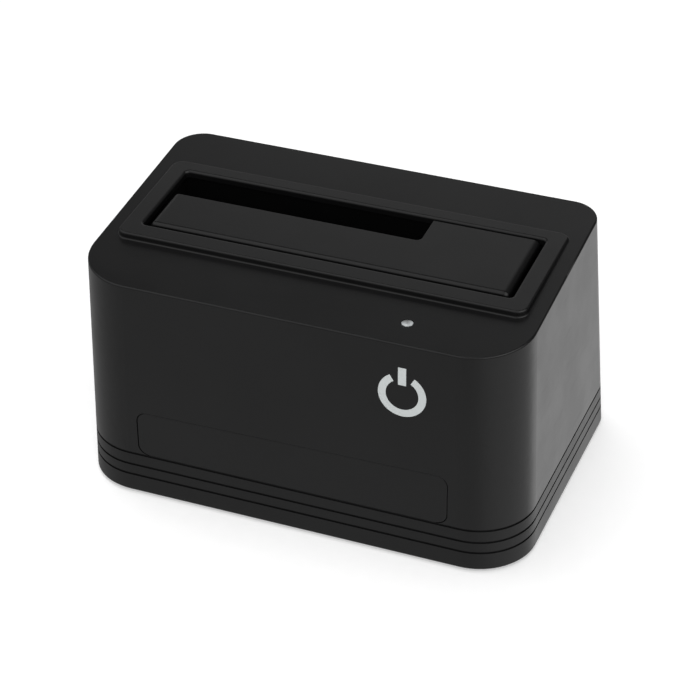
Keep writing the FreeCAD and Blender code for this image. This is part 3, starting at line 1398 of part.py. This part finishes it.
def power_switch_button():
    """The cap in the back wall and the plunger that runs in the switch."""
    y1 = button_face_y()
    z = button_z()
    cap = rod_y(SWITCH_X, z, BUTTON_RADIUS, y1 - BUTTON_LENGTH, y1)
    rim = edges_where(cap, lambda e: e.Closed and middle(e).y > y1 - BUTTON_LENGTH / 2)
    cap = cap.makeFillet(BUTTON_EDGE_ROUND, rim)
    half = PLUNGER_SIZE / 2
    y0 = y1 - BUTTON_LENGTH - SWITCH_TO_CAP - PLUNGER_IN_BODY
    plunger = box(SWITCH_X - half, SWITCH_X + half, y0, y1 - BUTTON_LENGTH / 2, z - half, z + half)
    return join([cap, plunger])


def power_symbol_inlay():
    return inlay_solids(0)


PIECES = {
    "upper_housing": upper_housing,
    "base_tray": base_tray,
    "front_blank_panel": front_blank_panel,
    "power_symbol_inlay": power_symbol_inlay,
    "drive_well": drive_well,
    "slot_flap": slot_flap,
    "flap_hinge_pin": flap_hinge_pin,
    "flap_spring": flap_spring,
    "sata_connector_body": sata_connector_body,
    "sata_contacts": sata_contacts,
    "main_board": main_board,
    "usb_socket_shell": usb_socket_shell,
    "usb_socket_insulator": usb_socket_insulator,
    "usb_socket_contacts": usb_socket_contacts,
    "dc_jack_body": dc_jack_body,
    "dc_jack_pin": dc_jack_pin,
    "power_switch_body": power_switch_body,
    "power_switch_button": power_switch_button,
    "bridge_chip": bridge_chip,
    "flash_chip": flash_chip,
    "electrolytic_capacitors": electrolytic_capacitors,
    "power_inductor": power_inductor,
    "crystal": crystal,
    "voltage_regulators": voltage_regulators,
    "chip_passives": chip_passives,
    "status_led": status_led,
    "light_pipe": light_pipe,
    "rubber_feet": rubber_feet,
    "case_screws": case_screws,
    "board_screws": board_screws,
    "well_screws": well_screws,
}


def main():
    os.makedirs("parts", exist_ok=True)
    for name, make in PIECES.items():
        shape = make()
        shape.translate(V(0, 0, FOOT_STAND))
        shape.exportStep(os.path.join("parts", name + ".step"))
        print("%s: %d solids, %.1f mm3, valid %s" % (name, len(shape.Solids), shape.Volume, shape.isValid()))


main()
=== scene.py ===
import bpy
import bmesh
import math
from mathutils import Matrix, Vector


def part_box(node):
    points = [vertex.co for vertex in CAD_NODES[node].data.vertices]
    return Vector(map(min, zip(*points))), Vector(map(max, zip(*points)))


# The looks of a black docking station for bare hard disk drives: a procedural material for each
# piece, a pale studio, and a camera at the photograph's angle. The frame gives all its shapes.
#
# Lengths are in metres. Levels and colours are linear, from 0 for black to 1 for white. The scale of
# a noise is in cells per metre.

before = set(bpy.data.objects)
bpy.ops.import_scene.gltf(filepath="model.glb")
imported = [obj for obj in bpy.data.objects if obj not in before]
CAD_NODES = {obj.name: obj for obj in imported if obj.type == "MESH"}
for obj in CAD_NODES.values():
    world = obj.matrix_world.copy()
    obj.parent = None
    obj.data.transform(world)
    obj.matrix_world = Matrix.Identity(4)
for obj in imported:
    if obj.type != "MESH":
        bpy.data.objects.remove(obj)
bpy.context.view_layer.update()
MM = 0.001


# Helpers for shaders

NOISE_RANGE = (0.3, 0.7)
BEVEL_SAMPLES = 6

# How far the rounded normal agrees with the true one, at a sharp edge and on a flat face

EDGE_AGREEMENT = (0.7, 0.98)


def grey(level, tint=0.0):
    """A grey that is warmer where tint is below 0 and cooler where it is above."""
    return (level, level, level * (1.0 + tint), 1.0)


def scaled(colour, factor):
    """The colour with its three channels times factor."""
    return tuple(channel * factor for channel in colour[:3]) + (1.0,)


class ShaderTree:
    """Adds nodes to a tree and links them. place is the coordinate that its textures follow."""

    def __init__(self, tree, place):
        self.tree = tree
        self.place = tree.nodes.new("ShaderNodeTexCoord").outputs[place]

    def put(self, target, value):
        """Gives an input a constant, or links it to another node's output."""
        if isinstance(value, bpy.types.NodeSocket):
            self.tree.links.new(value, target)
        else:
            target.default_value = value

    def node(self, kind, values, output=0, **settings):
        """Adds a node with these inputs and settings, and returns one of its outputs."""
        made = self.tree.nodes.new(kind)
        for key, value in settings.items():
            setattr(made, key, value)
        for key, value in values.items():
            self.put(made.inputs[key], value)
        return made.outputs[output]

    def math(self, operation, a, b=0.0):
        return self.node("ShaderNodeMath", {0: a, 1: b}, operation=operation)

    def add(self, a, b):
        return self.math("ADD", a, b)

    def subtract(self, a, b):
        return self.math("SUBTRACT", a, b)

    def multiply(self, a, b):
        return self.math("MULTIPLY", a, b)

    def stretch(self, x, y, z):
        """The place, scaled along each axis."""
        return self.node("ShaderNodeVectorMath", {0: self.place, 1: (x, y, z)}, operation="MULTIPLY")

    def axis(self, letter, where=None):
        """One coordinate of the place."""
        return self.node("ShaderNodeSeparateXYZ", {0: where or self.place}, output="XYZ".index(letter))

    def noise(self, scale, detail=3.0, rough=0.55, where=None):
        return self.node("ShaderNodeTexNoise", {
            "Vector": where or self.place, "Scale": scale, "Detail": detail, "Roughness": rough})

    def cells(self, scale):
        return self.node("ShaderNodeTexVoronoi", {"Vector": self.place, "Scale": scale})

    def between(self, value, low, high, start=0.0, end=1.0):
        """start where value is low or less, end where it is high or more, smooth between them."""
        return self.node("ShaderNodeMapRange", {
            "Value": value, "From Min": low, "From Max": high, "To Min": start, "To Max": end},
            interpolation_type="SMOOTHSTEP")

    def over_noise(self, noise, start=0.0, end=1.0):
        """start to end, over the values that a noise mostly has."""
        return self.between(noise, *NOISE_RANGE, start, end)

    def mixed(self, share, a, b):
        """A number between a, where share is 0, and b, where it is 1."""
        return self.add(self.multiply(share, b), self.multiply(self.subtract(1.0, share), a))

    def blend(self, share, a, b):
        """A colour between a, where share is 0, and b, where it is 1."""
        mix = self.tree.nodes.new("ShaderNodeMix")
        mix.data_type = "RGBA"
        self.put(mix.inputs["Factor"], share)
        self.put(mix.inputs["A"], a)
        self.put(mix.inputs["B"], b)
        return mix.outputs["Result"]

    def ray(self, kind):
        """1 for rays of one kind, such as Is Camera Ray, and 0 for others."""
        return self.tree.nodes.new("ShaderNodeLightPath").outputs[kind]


class Surface(ShaderTree):
    """One procedural material, built up round its shader."""

    def __init__(self, name):
        self.material = bpy.data.materials.new(name)
        self.material.use_nodes = True
        super().__init__(self.material.node_tree, "Object")
        self.shader = self.tree.nodes["Principled BSDF"]
        self.relief = None

    def edges(self, radius):
        """1 along the edges of the shape, as far as radius reaches, and 0 on its faces."""
        rounded = self.node("ShaderNodeBevel", {"Radius": radius}, samples=BEVEL_SAMPLES)
        true = self.node("ShaderNodeNewGeometry", {}, output="Normal")
        agreement = self.node(
            "ShaderNodeVectorMath", {0: rounded, 1: true}, output="Value", operation="DOT_PRODUCT")
        return self.between(agreement, *EDGE_AGREEMENT, 1.0, 0.0)

    def bump(self, height, depth, strength=1.0):
        """Adds relief over what is there. depth is how far a height of 1 stands out, in metres."""
        values = {"Height": height, "Distance": depth, "Strength": strength}
        if self.relief is not None:
            values["Normal"] = self.relief
        self.relief = self.node("ShaderNodeBump", values)

    def finish(self, targets, **values):
        """Sets the shader's sockets and gives the material to CAD nodes, by name, or to objects."""
        for key, value in values.items():
            self.put(self.shader.inputs[key.replace("_", " ")], value)
        if self.relief is not None:
            self.tree.links.new(self.relief, self.shader.inputs["Normal"])
        for target in targets:
            mesh = (CAD_NODES[target] if isinstance(target, str) else target).data
            mesh.materials.clear()
            mesh.materials.append(self.material)


# Black moulded plastic

CLOUD_SCALE = 28.0
CLOUD_DARK = 0.88
CLOUD_LIGHT = 1.14
CLOUD_TINT = 0.03

DUST_SCALE = 5200.0
DUST_SPECKS = (0.7, 0.78)
DUST_PATCHES = (0.45, 0.62)
DUST_SHARE = 0.25
DUST_LIGHT = 4.0
DUST_TINT = -0.04

# Worn edges, whose lighter tone is partly wear and partly a painted highlight
WEAR_WIDTH = 0.35 * MM
WEAR_SCALE = 420.0
WEAR_PATCHES = (0.35, 0.65)
WEAR_LEAST = 0.25
WEAR_SHARE = 0.5
WEAR_AND_HIGHLIGHT_LIGHT = 1.9
WEAR_POLISH = 0.1

SHINE_SCALE = 75.0
SHINE_SPREAD = 0.02
HANDLING_SCALE = 60.0
HANDLING_SQUEEZE = 9.0
HANDLING_PATCHES = (0.56, 0.66)
HANDLING_DULLING = 0.02

RIPPLE_SCALE = 18.0
RIPPLE_DEPTH = 0.02 * MM
RIPPLE_STRENGTH = 0.5
GRAIN_SCALE = 2600.0
GRAIN_DEPTH = 0.012 * MM
GRAIN_STRENGTH = 0.6
PIT_SCALE = 3400.0
PIT_DEPTH = 0.006 * MM
PIT_STRENGTH = 0.5

# The heights between which the well's walls go from painted light below to painted shade, black, towards
# their rim

WELL_PAINTED_SHADE_HEIGHTS = (54.0 * MM, 64.0 * MM)


def moulded_black(name, targets, level, rough=0.3, grain=1.0, index=1.5, deep_painted_light_level=None):
    """Satin black plastic: fine spark texture, slow ripple, faint handling marks, worn edges that are
    also a painted highlight.

    grain makes the texture deeper. The deep level is the level of the well's walls below their rim:
    painted light, lighter deeper in the well, under a rim of painted shade."""
    s = Surface(name)
    cloud = s.noise(CLOUD_SCALE, detail=4.0)
    dark = grey(level * CLOUD_DARK, CLOUD_TINT)
    light = grey(level * CLOUD_LIGHT, CLOUD_TINT)
    colour = s.blend(s.over_noise(cloud), dark, light)
    specks = s.between(s.noise(DUST_SCALE, detail=1.0), *DUST_SPECKS)
    dust = s.multiply(specks, s.between(cloud, *DUST_PATCHES))
    colour = s.blend(s.multiply(dust, DUST_SHARE), colour, grey(level * DUST_LIGHT, DUST_TINT))
    # Worn edges: more polished with wear, and lighter, partly from wear and partly as a painted
    # highlight along the edges
    patches = s.between(s.noise(WEAR_SCALE), *WEAR_PATCHES, WEAR_LEAST, 1.0)
    worn_and_highlit = s.multiply(s.edges(WEAR_WIDTH), patches)
    colour = s.blend(s.multiply(worn_and_highlit, WEAR_SHARE), colour, grey(level * WEAR_AND_HIGHLIGHT_LIGHT))
    if deep_painted_light_level is not None:
        # Painted shade: the well's walls turn black towards their rim, and painted light makes them
        # lighter deeper down
        colour = s.blend(s.between(s.axis("Z"), *WELL_PAINTED_SHADE_HEIGHTS), grey(deep_painted_light_level), colour)
    strokes = s.noise(HANDLING_SCALE, detail=5.0, rough=0.7, where=s.stretch(1.0, 1.0, HANDLING_SQUEEZE))
    handled = s.between(strokes, *HANDLING_PATCHES)
    shine = s.noise(SHINE_SCALE, detail=4.0, rough=0.6)
    shine = s.over_noise(shine, rough - SHINE_SPREAD, rough + SHINE_SPREAD)
    shine = s.add(shine, s.multiply(handled, HANDLING_DULLING))
    shine = s.subtract(shine, s.multiply(worn_and_highlit, WEAR_POLISH))
    s.bump(s.noise(RIPPLE_SCALE, detail=2.0), RIPPLE_DEPTH, RIPPLE_STRENGTH)
    s.bump(s.noise(GRAIN_SCALE, detail=2.0), GRAIN_DEPTH * grain, GRAIN_STRENGTH)
    s.bump(s.cells(PIT_SCALE), PIT_DEPTH * grain, PIT_STRENGTH)
    s.finish(targets, Base_Color=colour, Roughness=shine, IOR=index)


moulded_black("housing_plastic", ["upper_housing"], level=0.004)
moulded_black("tray_plastic", ["base_tray"], level=0.004, rough=0.39)
moulded_black("panel_plastic", ["front_blank_panel"], level=0.0042)
moulded_black("flap_plastic", ["slot_flap"], level=0.003)
moulded_black(
    "well_plastic", ["drive_well"], level=0.0015, rough=0.5, grain=1.6, index=1.3, deep_painted_light_level=0.016)
moulded_black("button_plastic", ["power_switch_button"], level=0.016, rough=0.34, grain=0.6)
moulded_black("socket_nylon", ["sata_connector_body", "dc_jack_body"], level=0.012, rough=0.5, grain=1.4)
moulded_black("rubber_pad", ["rubber_feet"], level=0.02, rough=0.72, grain=2.5)


# Light and mid coloured mouldings

FLOW_SCALE = 140.0
FLOW_SQUEEZE = 2.4
FLOW_DULLING = 0.05
DIRT_SCALE = 2100.0
DIRT_SPECKS = (0.6, 0.75)
DIRT_SHARE = 0.2
DIRT_DARK = 0.5
SOFT_GRAIN_SCALE = 3000.0
SOFT_GRAIN_DEPTH = 0.008 * MM


def plain_moulding(name, targets, colour, rough, spread=0.08):
    """Moulded or fired parts with flow marks and a fine grain. spread is how dark the marks are."""
    s = Surface(name)
    flow = s.noise(FLOW_SCALE, detail=4.0, rough=0.6, where=s.stretch(1.0, FLOW_SQUEEZE, 1.0))
    tone = s.blend(s.over_noise(flow), scaled(colour, 1.0 - spread), colour)
    dirt = s.between(s.noise(DIRT_SCALE), *DIRT_SPECKS)
    tone = s.blend(s.multiply(dirt, DIRT_SHARE), tone, scaled(colour, DIRT_DARK))
    shine = s.over_noise(flow, rough - FLOW_DULLING, rough + FLOW_DULLING)
    s.bump(s.noise(SOFT_GRAIN_SCALE, detail=2.0), SOFT_GRAIN_DEPTH)
    s.finish(targets, Base_Color=tone, Roughness=shine)


CHIPS = ["bridge_chip", "flash_chip", "voltage_regulators"]

plain_moulding("symbol_ink", ["power_symbol_inlay"], (0.57, 0.6, 0.6, 1.0), rough=0.45, spread=0.03)
plain_moulding("natural_nylon", ["usb_socket_insulator"], (0.72, 0.71, 0.66, 1.0), rough=0.42)
plain_moulding("grey_nylon", ["power_switch_body"], (0.2, 0.2, 0.21, 1.0), rough=0.5)
plain_moulding("ferrite", ["power_inductor"], (0.13, 0.13, 0.135, 1.0), rough=0.62, spread=0.2)
plain_moulding("ceramic", ["chip_passives"], (0.45, 0.32, 0.2, 1.0), rough=0.45, spread=0.2)
plain_moulding("epoxy", CHIPS, (0.03, 0.03, 0.031, 1.0), rough=0.55, spread=0.15)


# Metals

DRAWING_SCALE = 900.0
DRAWING_DEPTH = 0.004 * MM
DRAWING_POLISH = 0.06
DRAWING_DULLING = 0.08
TARNISH_SCALE = 190.0
TARNISH_PATCHES = (0.45, 0.75)
TARNISH_SHARE = 0.35
TARNISH_DARK = 0.72
TARNISH_DULLING = 0.08


def metal(name, targets, colour, rough, along=(1.0, 1.0, 1.0)):
    """Metal with a slight tarnish and drawing marks, long on the axis where along is small."""
    s = Surface(name)
    marks = s.noise(DRAWING_SCALE, detail=4.0, rough=0.6, where=s.stretch(*along))
    tarnish = s.between(s.noise(TARNISH_SCALE, detail=4.0), *TARNISH_PATCHES)
    tone = s.blend(s.multiply(tarnish, TARNISH_SHARE), colour, scaled(colour, TARNISH_DARK))
    shine = s.over_noise(marks, rough - DRAWING_POLISH, rough + DRAWING_DULLING)
    shine = s.add(shine, s.multiply(tarnish, TARNISH_DULLING))
    s.bump(marks, DRAWING_DEPTH)
    s.finish(targets, Base_Color=tone, Roughness=shine, Metallic=1.0)


SCREWS = ["case_screws", "board_screws", "well_screws"]
CONTACTS = ["sata_contacts", "usb_socket_contacts"]
PLATED = ["usb_socket_shell", "dc_jack_pin"]
CANS = ["electrolytic_capacitors", "crystal"]

metal("drawn_steel", ["flap_hinge_pin"], (0.56, 0.56, 0.57, 1.0), rough=0.28, along=(0.05, 1.0, 1.0))
metal("spring_wire", ["flap_spring"], (0.28, 0.28, 0.29, 1.0), rough=0.36)
metal("zinc_plate", SCREWS, (0.6, 0.6, 0.58, 1.0), rough=0.3, along=(1.0, 1.0, 0.2))
metal("nickel_plate", PLATED, (0.68, 0.66, 0.62, 1.0), rough=0.2, along=(1.0, 0.1, 1.0))
metal("gold_flash", CONTACTS, (0.86, 0.66, 0.3, 1.0), rough=0.22, along=(1.0, 1.0, 0.2))
metal("drawn_can", CANS, (0.74, 0.74, 0.75, 1.0), rough=0.3, along=(1.0, 1.0, 0.15))


# Board

TRACK_WAVE = {"Scale": 210.0, "Distortion": 9.0, "Detail": 1.0, "Detail Scale": 0.4}
TRACK_EDGE = (0.62, 0.7)
TRACK_DEPTH = 0.03 * MM
WEAVE_RADIANS_PER_METRE = 5200.0
WEAVE_SHARE = 0.12
WEAVE_DEPTH = 0.004 * MM
MASK_COLOUR = (0.012, 0.085, 0.035, 1.0)
MASK_OVER_COPPER = (0.02, 0.15, 0.06, 1.0)
MASK_OVER_WEAVE = (0.03, 0.2, 0.08, 1.0)
MASK_SHINE_SCALE = 300.0
MASK_SHINE = (0.25, 0.36)


def solder_mask():
    """Green board: copper tracks under the mask, and a fine weave."""
    s = Surface("solder_mask")
    tracks = s.node("ShaderNodeTexWave", {"Vector": s.place, **TRACK_WAVE}, bands_direction="DIAGONAL")
    copper = s.between(tracks, *TRACK_EDGE)
    threads = [s.math("SINE", s.multiply(s.axis(letter), WEAVE_RADIANS_PER_METRE)) for letter in "XY"]
    weave = s.multiply(*threads)
    colour = s.blend(copper, MASK_COLOUR, MASK_OVER_COPPER)
    colour = s.blend(s.between(weave, -1.0, 1.0, 0.0, WEAVE_SHARE), colour, MASK_OVER_WEAVE)
    s.bump(copper, TRACK_DEPTH)
    s.bump(weave, WEAVE_DEPTH)
    shine = s.over_noise(s.noise(MASK_SHINE_SCALE), *MASK_SHINE)
    s.finish(["main_board"], Base_Color=colour, Roughness=shine)


solder_mask()


# Light pipe: painted glints make it lighter at its front and sides, and painted shade makes it darker
# towards its back

PIPE_HAZE_SCALE = 700.0
PIPE_HAZE_DEPTH = 0.004 * MM
PIPE_COLOUR = (0.63, 0.66, 0.67, 1.0)
PIPE_HAZE_COLOUR = (0.73, 0.76, 0.77, 1.0)
PIPE_PAINTED_SHADE_LEVEL = 0.17
# The level and the reach of the painted shade and glints on the pipe, and how far they are turned
PIPE_PAINTED_GLINT_FADE = (-0.7 * MM, 2.3 * MM)
PIPE_GLINT_TURN = math.radians(32.0)
PIPE_SHINE_HAZE = (0.35, 0.7)
PIPE_SHINE = (0.12, 0.2)
PIPE_INDEX = 1.49
PIPE_TRANSMISSION = 0.35


def clear_acrylic():
    """Hazy clear plastic. Painted glints make it lighter at its front and two sides, painted shade
    darker at its back, turned a little.
    """
    s = Surface("clear_acrylic")
    haze = s.noise(PIPE_HAZE_SCALE, detail=4.0)
    low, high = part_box("light_pipe")
    centre = [(a + b) / 2 for a, b in zip(low, high)]
    turned = s.node("ShaderNodeVectorRotate", {
        "Vector": s.place, "Center": centre, "Angle": -PIPE_GLINT_TURN}, rotation_type="Z_AXIS")
    sideways = s.math("ABSOLUTE", s.subtract(s.axis("X", turned), centre[0]))
    forward = s.subtract(centre[1], s.axis("Y", turned))
    tone = s.blend(s.over_noise(haze), PIPE_COLOUR, PIPE_HAZE_COLOUR)
    # Painted glints and painted shade: lighter at the front and the two sides, darker towards the back
    tone = s.blend(s.between(s.add(forward, sideways), *PIPE_PAINTED_GLINT_FADE), grey(PIPE_PAINTED_SHADE_LEVEL), tone)
    shine = s.between(haze, *PIPE_SHINE_HAZE, *PIPE_SHINE)
    s.bump(haze, PIPE_HAZE_DEPTH)
    s.finish(["light_pipe"], Base_Color=tone, Roughness=shine, IOR=PIPE_INDEX,
             Transmission_Weight=PIPE_TRANSMISSION)


clear_acrylic()


# Lamp on the board

LAMP_HAZE_SCALE = 900.0
LAMP_HAZE_DEPTH = 0.003 * MM
LAMP_COLOUR = (0.74, 0.74, 0.68, 1.0)
LAMP_HAZE_COLOUR = (0.84, 0.84, 0.8, 1.0)
LAMP_SHINE = (0.2, 0.3)
LAMP_MILKINESS = 0.2
LAMP_MILK_REACH = 1.0 * MM


def milky_epoxy():
    """The small status light under the pipe."""
    s = Surface("milky_epoxy")
    haze = s.noise(LAMP_HAZE_SCALE)
    tone = s.blend(s.over_noise(haze), LAMP_COLOUR, LAMP_HAZE_COLOUR)
    shine = s.over_noise(haze, *LAMP_SHINE)
    s.bump(haze, LAMP_HAZE_DEPTH)
    s.finish(["status_led"], Base_Color=tone, Roughness=shine, Subsurface_Weight=LAMP_MILKINESS,
             Subsurface_Scale=LAMP_MILK_REACH)


milky_epoxy()


# Camera, as fitted to the outline of the body without its feet

WIDTH = 128.0 * MM
FOOT_HEIGHT = 1.0 * MM
AZIMUTH = math.radians(21.9366)
ELEVATION = math.radians(33.7926)
ROLL = math.radians(-0.6464)
FOCAL_PIXELS = 2387.96
FRAME_PIXELS = 700
SENSOR_MM = 36.0
CLIP_START = 0.01
CLIP_END = 20.0

# In widths of the body

DISTANCE = 5.1536
SHIFT_X = -0.0049
SHIFT_Y = 0.006
TARGET_HEIGHT = 0.25


def make_camera():
    data = bpy.data.cameras.new("camera")
    camera = bpy.data.objects.new("camera", data)
    bpy.context.scene.collection.objects.link(camera)
    flat = math.cos(ELEVATION)
    back = Vector((math.sin(AZIMUTH) * flat, -math.cos(AZIMUTH) * flat, math.sin(ELEVATION)))
    right = Vector((math.cos(AZIMUTH), math.sin(AZIMUTH), 0.0))
    up = back.cross(right)
    rolled_right = right * math.cos(ROLL) + up * math.sin(ROLL)
    rolled_up = up * math.cos(ROLL) - right * math.sin(ROLL)
    target = Vector((0.0, 0.0, TARGET_HEIGHT))
    place = WIDTH * (DISTANCE * back - SHIFT_X * rolled_right - SHIFT_Y * rolled_up + target)
    turn = Matrix((rolled_right, rolled_up, back)).transposed().to_4x4()
    camera.matrix_world = Matrix.Translation(place + Vector((0.0, 0.0, FOOT_HEIGHT))) @ turn
    data.sensor_width = SENSOR_MM
    data.lens = FOCAL_PIXELS / FRAME_PIXELS * SENSOR_MM
    data.clip_start = CLIP_START
    data.clip_end = CLIP_END
    bpy.context.scene.camera = camera


make_camera()


# Floor

FLOOR_HALF = 3.0
FLOOR_LEVEL = 0.7
FLOOR_MOTTLE = 0.01
FLOOR_MOTTLE_SCALE = 300.0
FLOOR_ROUGHNESS = 0.9
GLOW_NEAR = 0.36
GLOW_FAR = 0.7
GLOW_REACH = (0.4, 2.2)


def make_floor():
    """A pale floor that keeps the object's shadow. Gloss sees the studio's lower half instead.

    The light that falls on it and a glow for the camera come to white together, so the glow is
    stronger far from the object, where less light falls."""
    mesh = bpy.data.meshes.new("floor")
    shape = bmesh.new()
    corners = [(x * FLOOR_HALF, y * FLOOR_HALF, 0.0) for x, y in ((-1, -1), (1, -1), (1, 1), (-1, 1))]
    shape.faces.new([shape.verts.new(corner) for corner in corners])
    shape.to_mesh(mesh)
    shape.free()
    floor = bpy.data.objects.new("floor", mesh)
    bpy.context.scene.collection.objects.link(floor)
    floor.visible_glossy = False
    floor.visible_transmission = False
    s = Surface("floor_paper")
    mottle = s.over_noise(s.noise(FLOOR_MOTTLE_SCALE))
    shade = s.blend(mottle, grey(FLOOR_LEVEL - FLOOR_MOTTLE), grey(FLOOR_LEVEL + FLOOR_MOTTLE))
    s.finish([floor], Base_Color=shade, Roughness=FLOOR_ROUGHNESS, Specular_IOR_Level=0.0)
    reach = s.node("ShaderNodeVectorMath", {0: s.place}, output="Value", operation="LENGTH")
    glow = s.multiply(s.ray("Is Camera Ray"), s.between(reach, *GLOW_REACH, GLOW_NEAR, GLOW_FAR))
    emission = s.node("ShaderNodeEmission", {"Color": grey(1.0), "Strength": glow})
    seen = s.node("ShaderNodeAddShader", {0: s.shader.outputs[0], 1: emission})
    s.tree.links.new(seen, s.tree.nodes["Material Output"].inputs["Surface"])


make_floor()


# Studio that gloss sees: the levels of its parts

TABLE_LEVEL = 0.38
TABLE_RIGHT_LEVEL = 0.64
TABLE_BACK_LEVEL = 0.94
BACK_WALL_LEVEL = 0.475
BACK_WALL_TOP_LEVEL = 0.03
SHADE_LEVEL = 0.07
FRONT_WALL_LEVEL = 0.25
LEFT_BOX_LEVEL = 0.75
BETWEEN_BOXES_LEVEL = 0.25
RIGHT_BOX_LEVEL = 1.4

# Where one part turns into the next, by the side, depth or height of a direction

TABLE_RIGHT_SIDE = (0.1, 0.8)
TABLE_BACK_SIDE = (-0.3, 0.2)
TABLE_BACK_DEPTH = (0.5, 0.66)
TABLE_END_HEIGHT = (-0.42, -0.22)
BACK_WALL_DEPTH = (0.18, 0.38)
BACK_WALL_RISE_HEIGHT = (-0.05, 0.35)
BACK_WALL_TOP_HEIGHT = (0.3, 0.45)
BACK_WALL_TOP_DEPTH = (0.675, 0.76)
BACK_WALL_END_SIDE = (-0.12, 0.3)
LEFT_BOX_END_SIDE = (-0.1, 0.1)
RIGHT_BOX_START_SIDE = (0.2, 0.45)
BOXES_START_HEIGHT = (0.3, 0.5)


def studio_in_gloss(s):
    """A table, a front wall, two soft boxes overhead, and a back wall that is lit at the left.

    side, depth and height run from -1 to 1: left to right, front to back and below to above."""
    side = s.axis("X")
    depth = s.axis("Y")
    height = s.axis("Z")
    table_front = s.between(side, *TABLE_RIGHT_SIDE, TABLE_LEVEL, TABLE_RIGHT_LEVEL)
    table_back = s.between(side, *TABLE_BACK_SIDE, TABLE_LEVEL, TABLE_BACK_LEVEL)
    table = s.mixed(s.between(depth, *TABLE_BACK_DEPTH), table_front, table_back)
    wall = s.between(height, *BACK_WALL_RISE_HEIGHT, SHADE_LEVEL, BACK_WALL_LEVEL)
    high = s.between(height, *BACK_WALL_TOP_HEIGHT)
    top = s.multiply(high, s.between(depth, *BACK_WALL_TOP_DEPTH, 1.0, 0.0))
    wall = s.mixed(top, wall, BACK_WALL_TOP_LEVEL)
    wall = s.mixed(s.between(side, *BACK_WALL_END_SIDE), wall, SHADE_LEVEL)
    left_box = s.between(side, *LEFT_BOX_END_SIDE, LEFT_BOX_LEVEL, BETWEEN_BOXES_LEVEL)
    right_box = s.between(side, *RIGHT_BOX_START_SIDE, 0.0, RIGHT_BOX_LEVEL - BETWEEN_BOXES_LEVEL)
    boxes = s.add(left_box, right_box)
    front = s.mixed(s.between(height, *BOXES_START_HEIGHT), FRONT_WALL_LEVEL, boxes)
    above = s.mixed(s.between(depth, *BACK_WALL_DEPTH), front, wall)
    return s.mixed(s.between(height, *TABLE_END_HEIGHT), table, above)


# World and lamps, at a plain level, at which a colour renders about as it is written

WORLD_LEVEL = 0.42
KEY_LIGHT = {"place": (0.35, -0.9, 1.1), "size": 0.9, "watts": 12.0}
TOP_LIGHT = {"place": (-0.3, 0.1, 1.4), "size": 1.0, "watts": 8.0}
LIGHT_TARGET = (0.0, 0.0, 0.04)


def make_world():
    """White to the camera, plain light for the colours, and the studio in the gloss."""
    world = bpy.data.worlds.new("studio")
    bpy.context.scene.world = world
    world.use_nodes = True
    s = ShaderTree(world.node_tree, "Generated")
    is_gloss = s.math("MAXIMUM", s.ray("Is Glossy Ray"), s.ray("Is Transmission Ray"))
    level = s.mixed(is_gloss, WORLD_LEVEL, studio_in_gloss(s))
    background = s.tree.nodes["Background"]
    s.put(background.inputs["Color"], grey(1.0))
    s.put(background.inputs["Strength"], s.math("MAXIMUM", level, s.ray("Is Camera Ray")))


def soft_light(name, place, size, watts):
    """A round soft lamp. Gloss sees the soft boxes of the studio instead."""
    data = bpy.data.lights.new(name, "AREA")
    data.shape = "DISK"
    data.size = size
    data.energy = watts
    light = bpy.data.objects.new(name, data)
    bpy.context.scene.collection.objects.link(light)
    light.location = place
    light.rotation_euler = (Vector(LIGHT_TARGET) - Vector(place)).to_track_quat("-Z", "Y").to_euler()
    light.visible_glossy = False


make_world()
bpy.context.scene.view_settings.view_transform = "Standard"
soft_light("key_light", **KEY_LIGHT)
soft_light("top_light", **TOP_LIGHT)
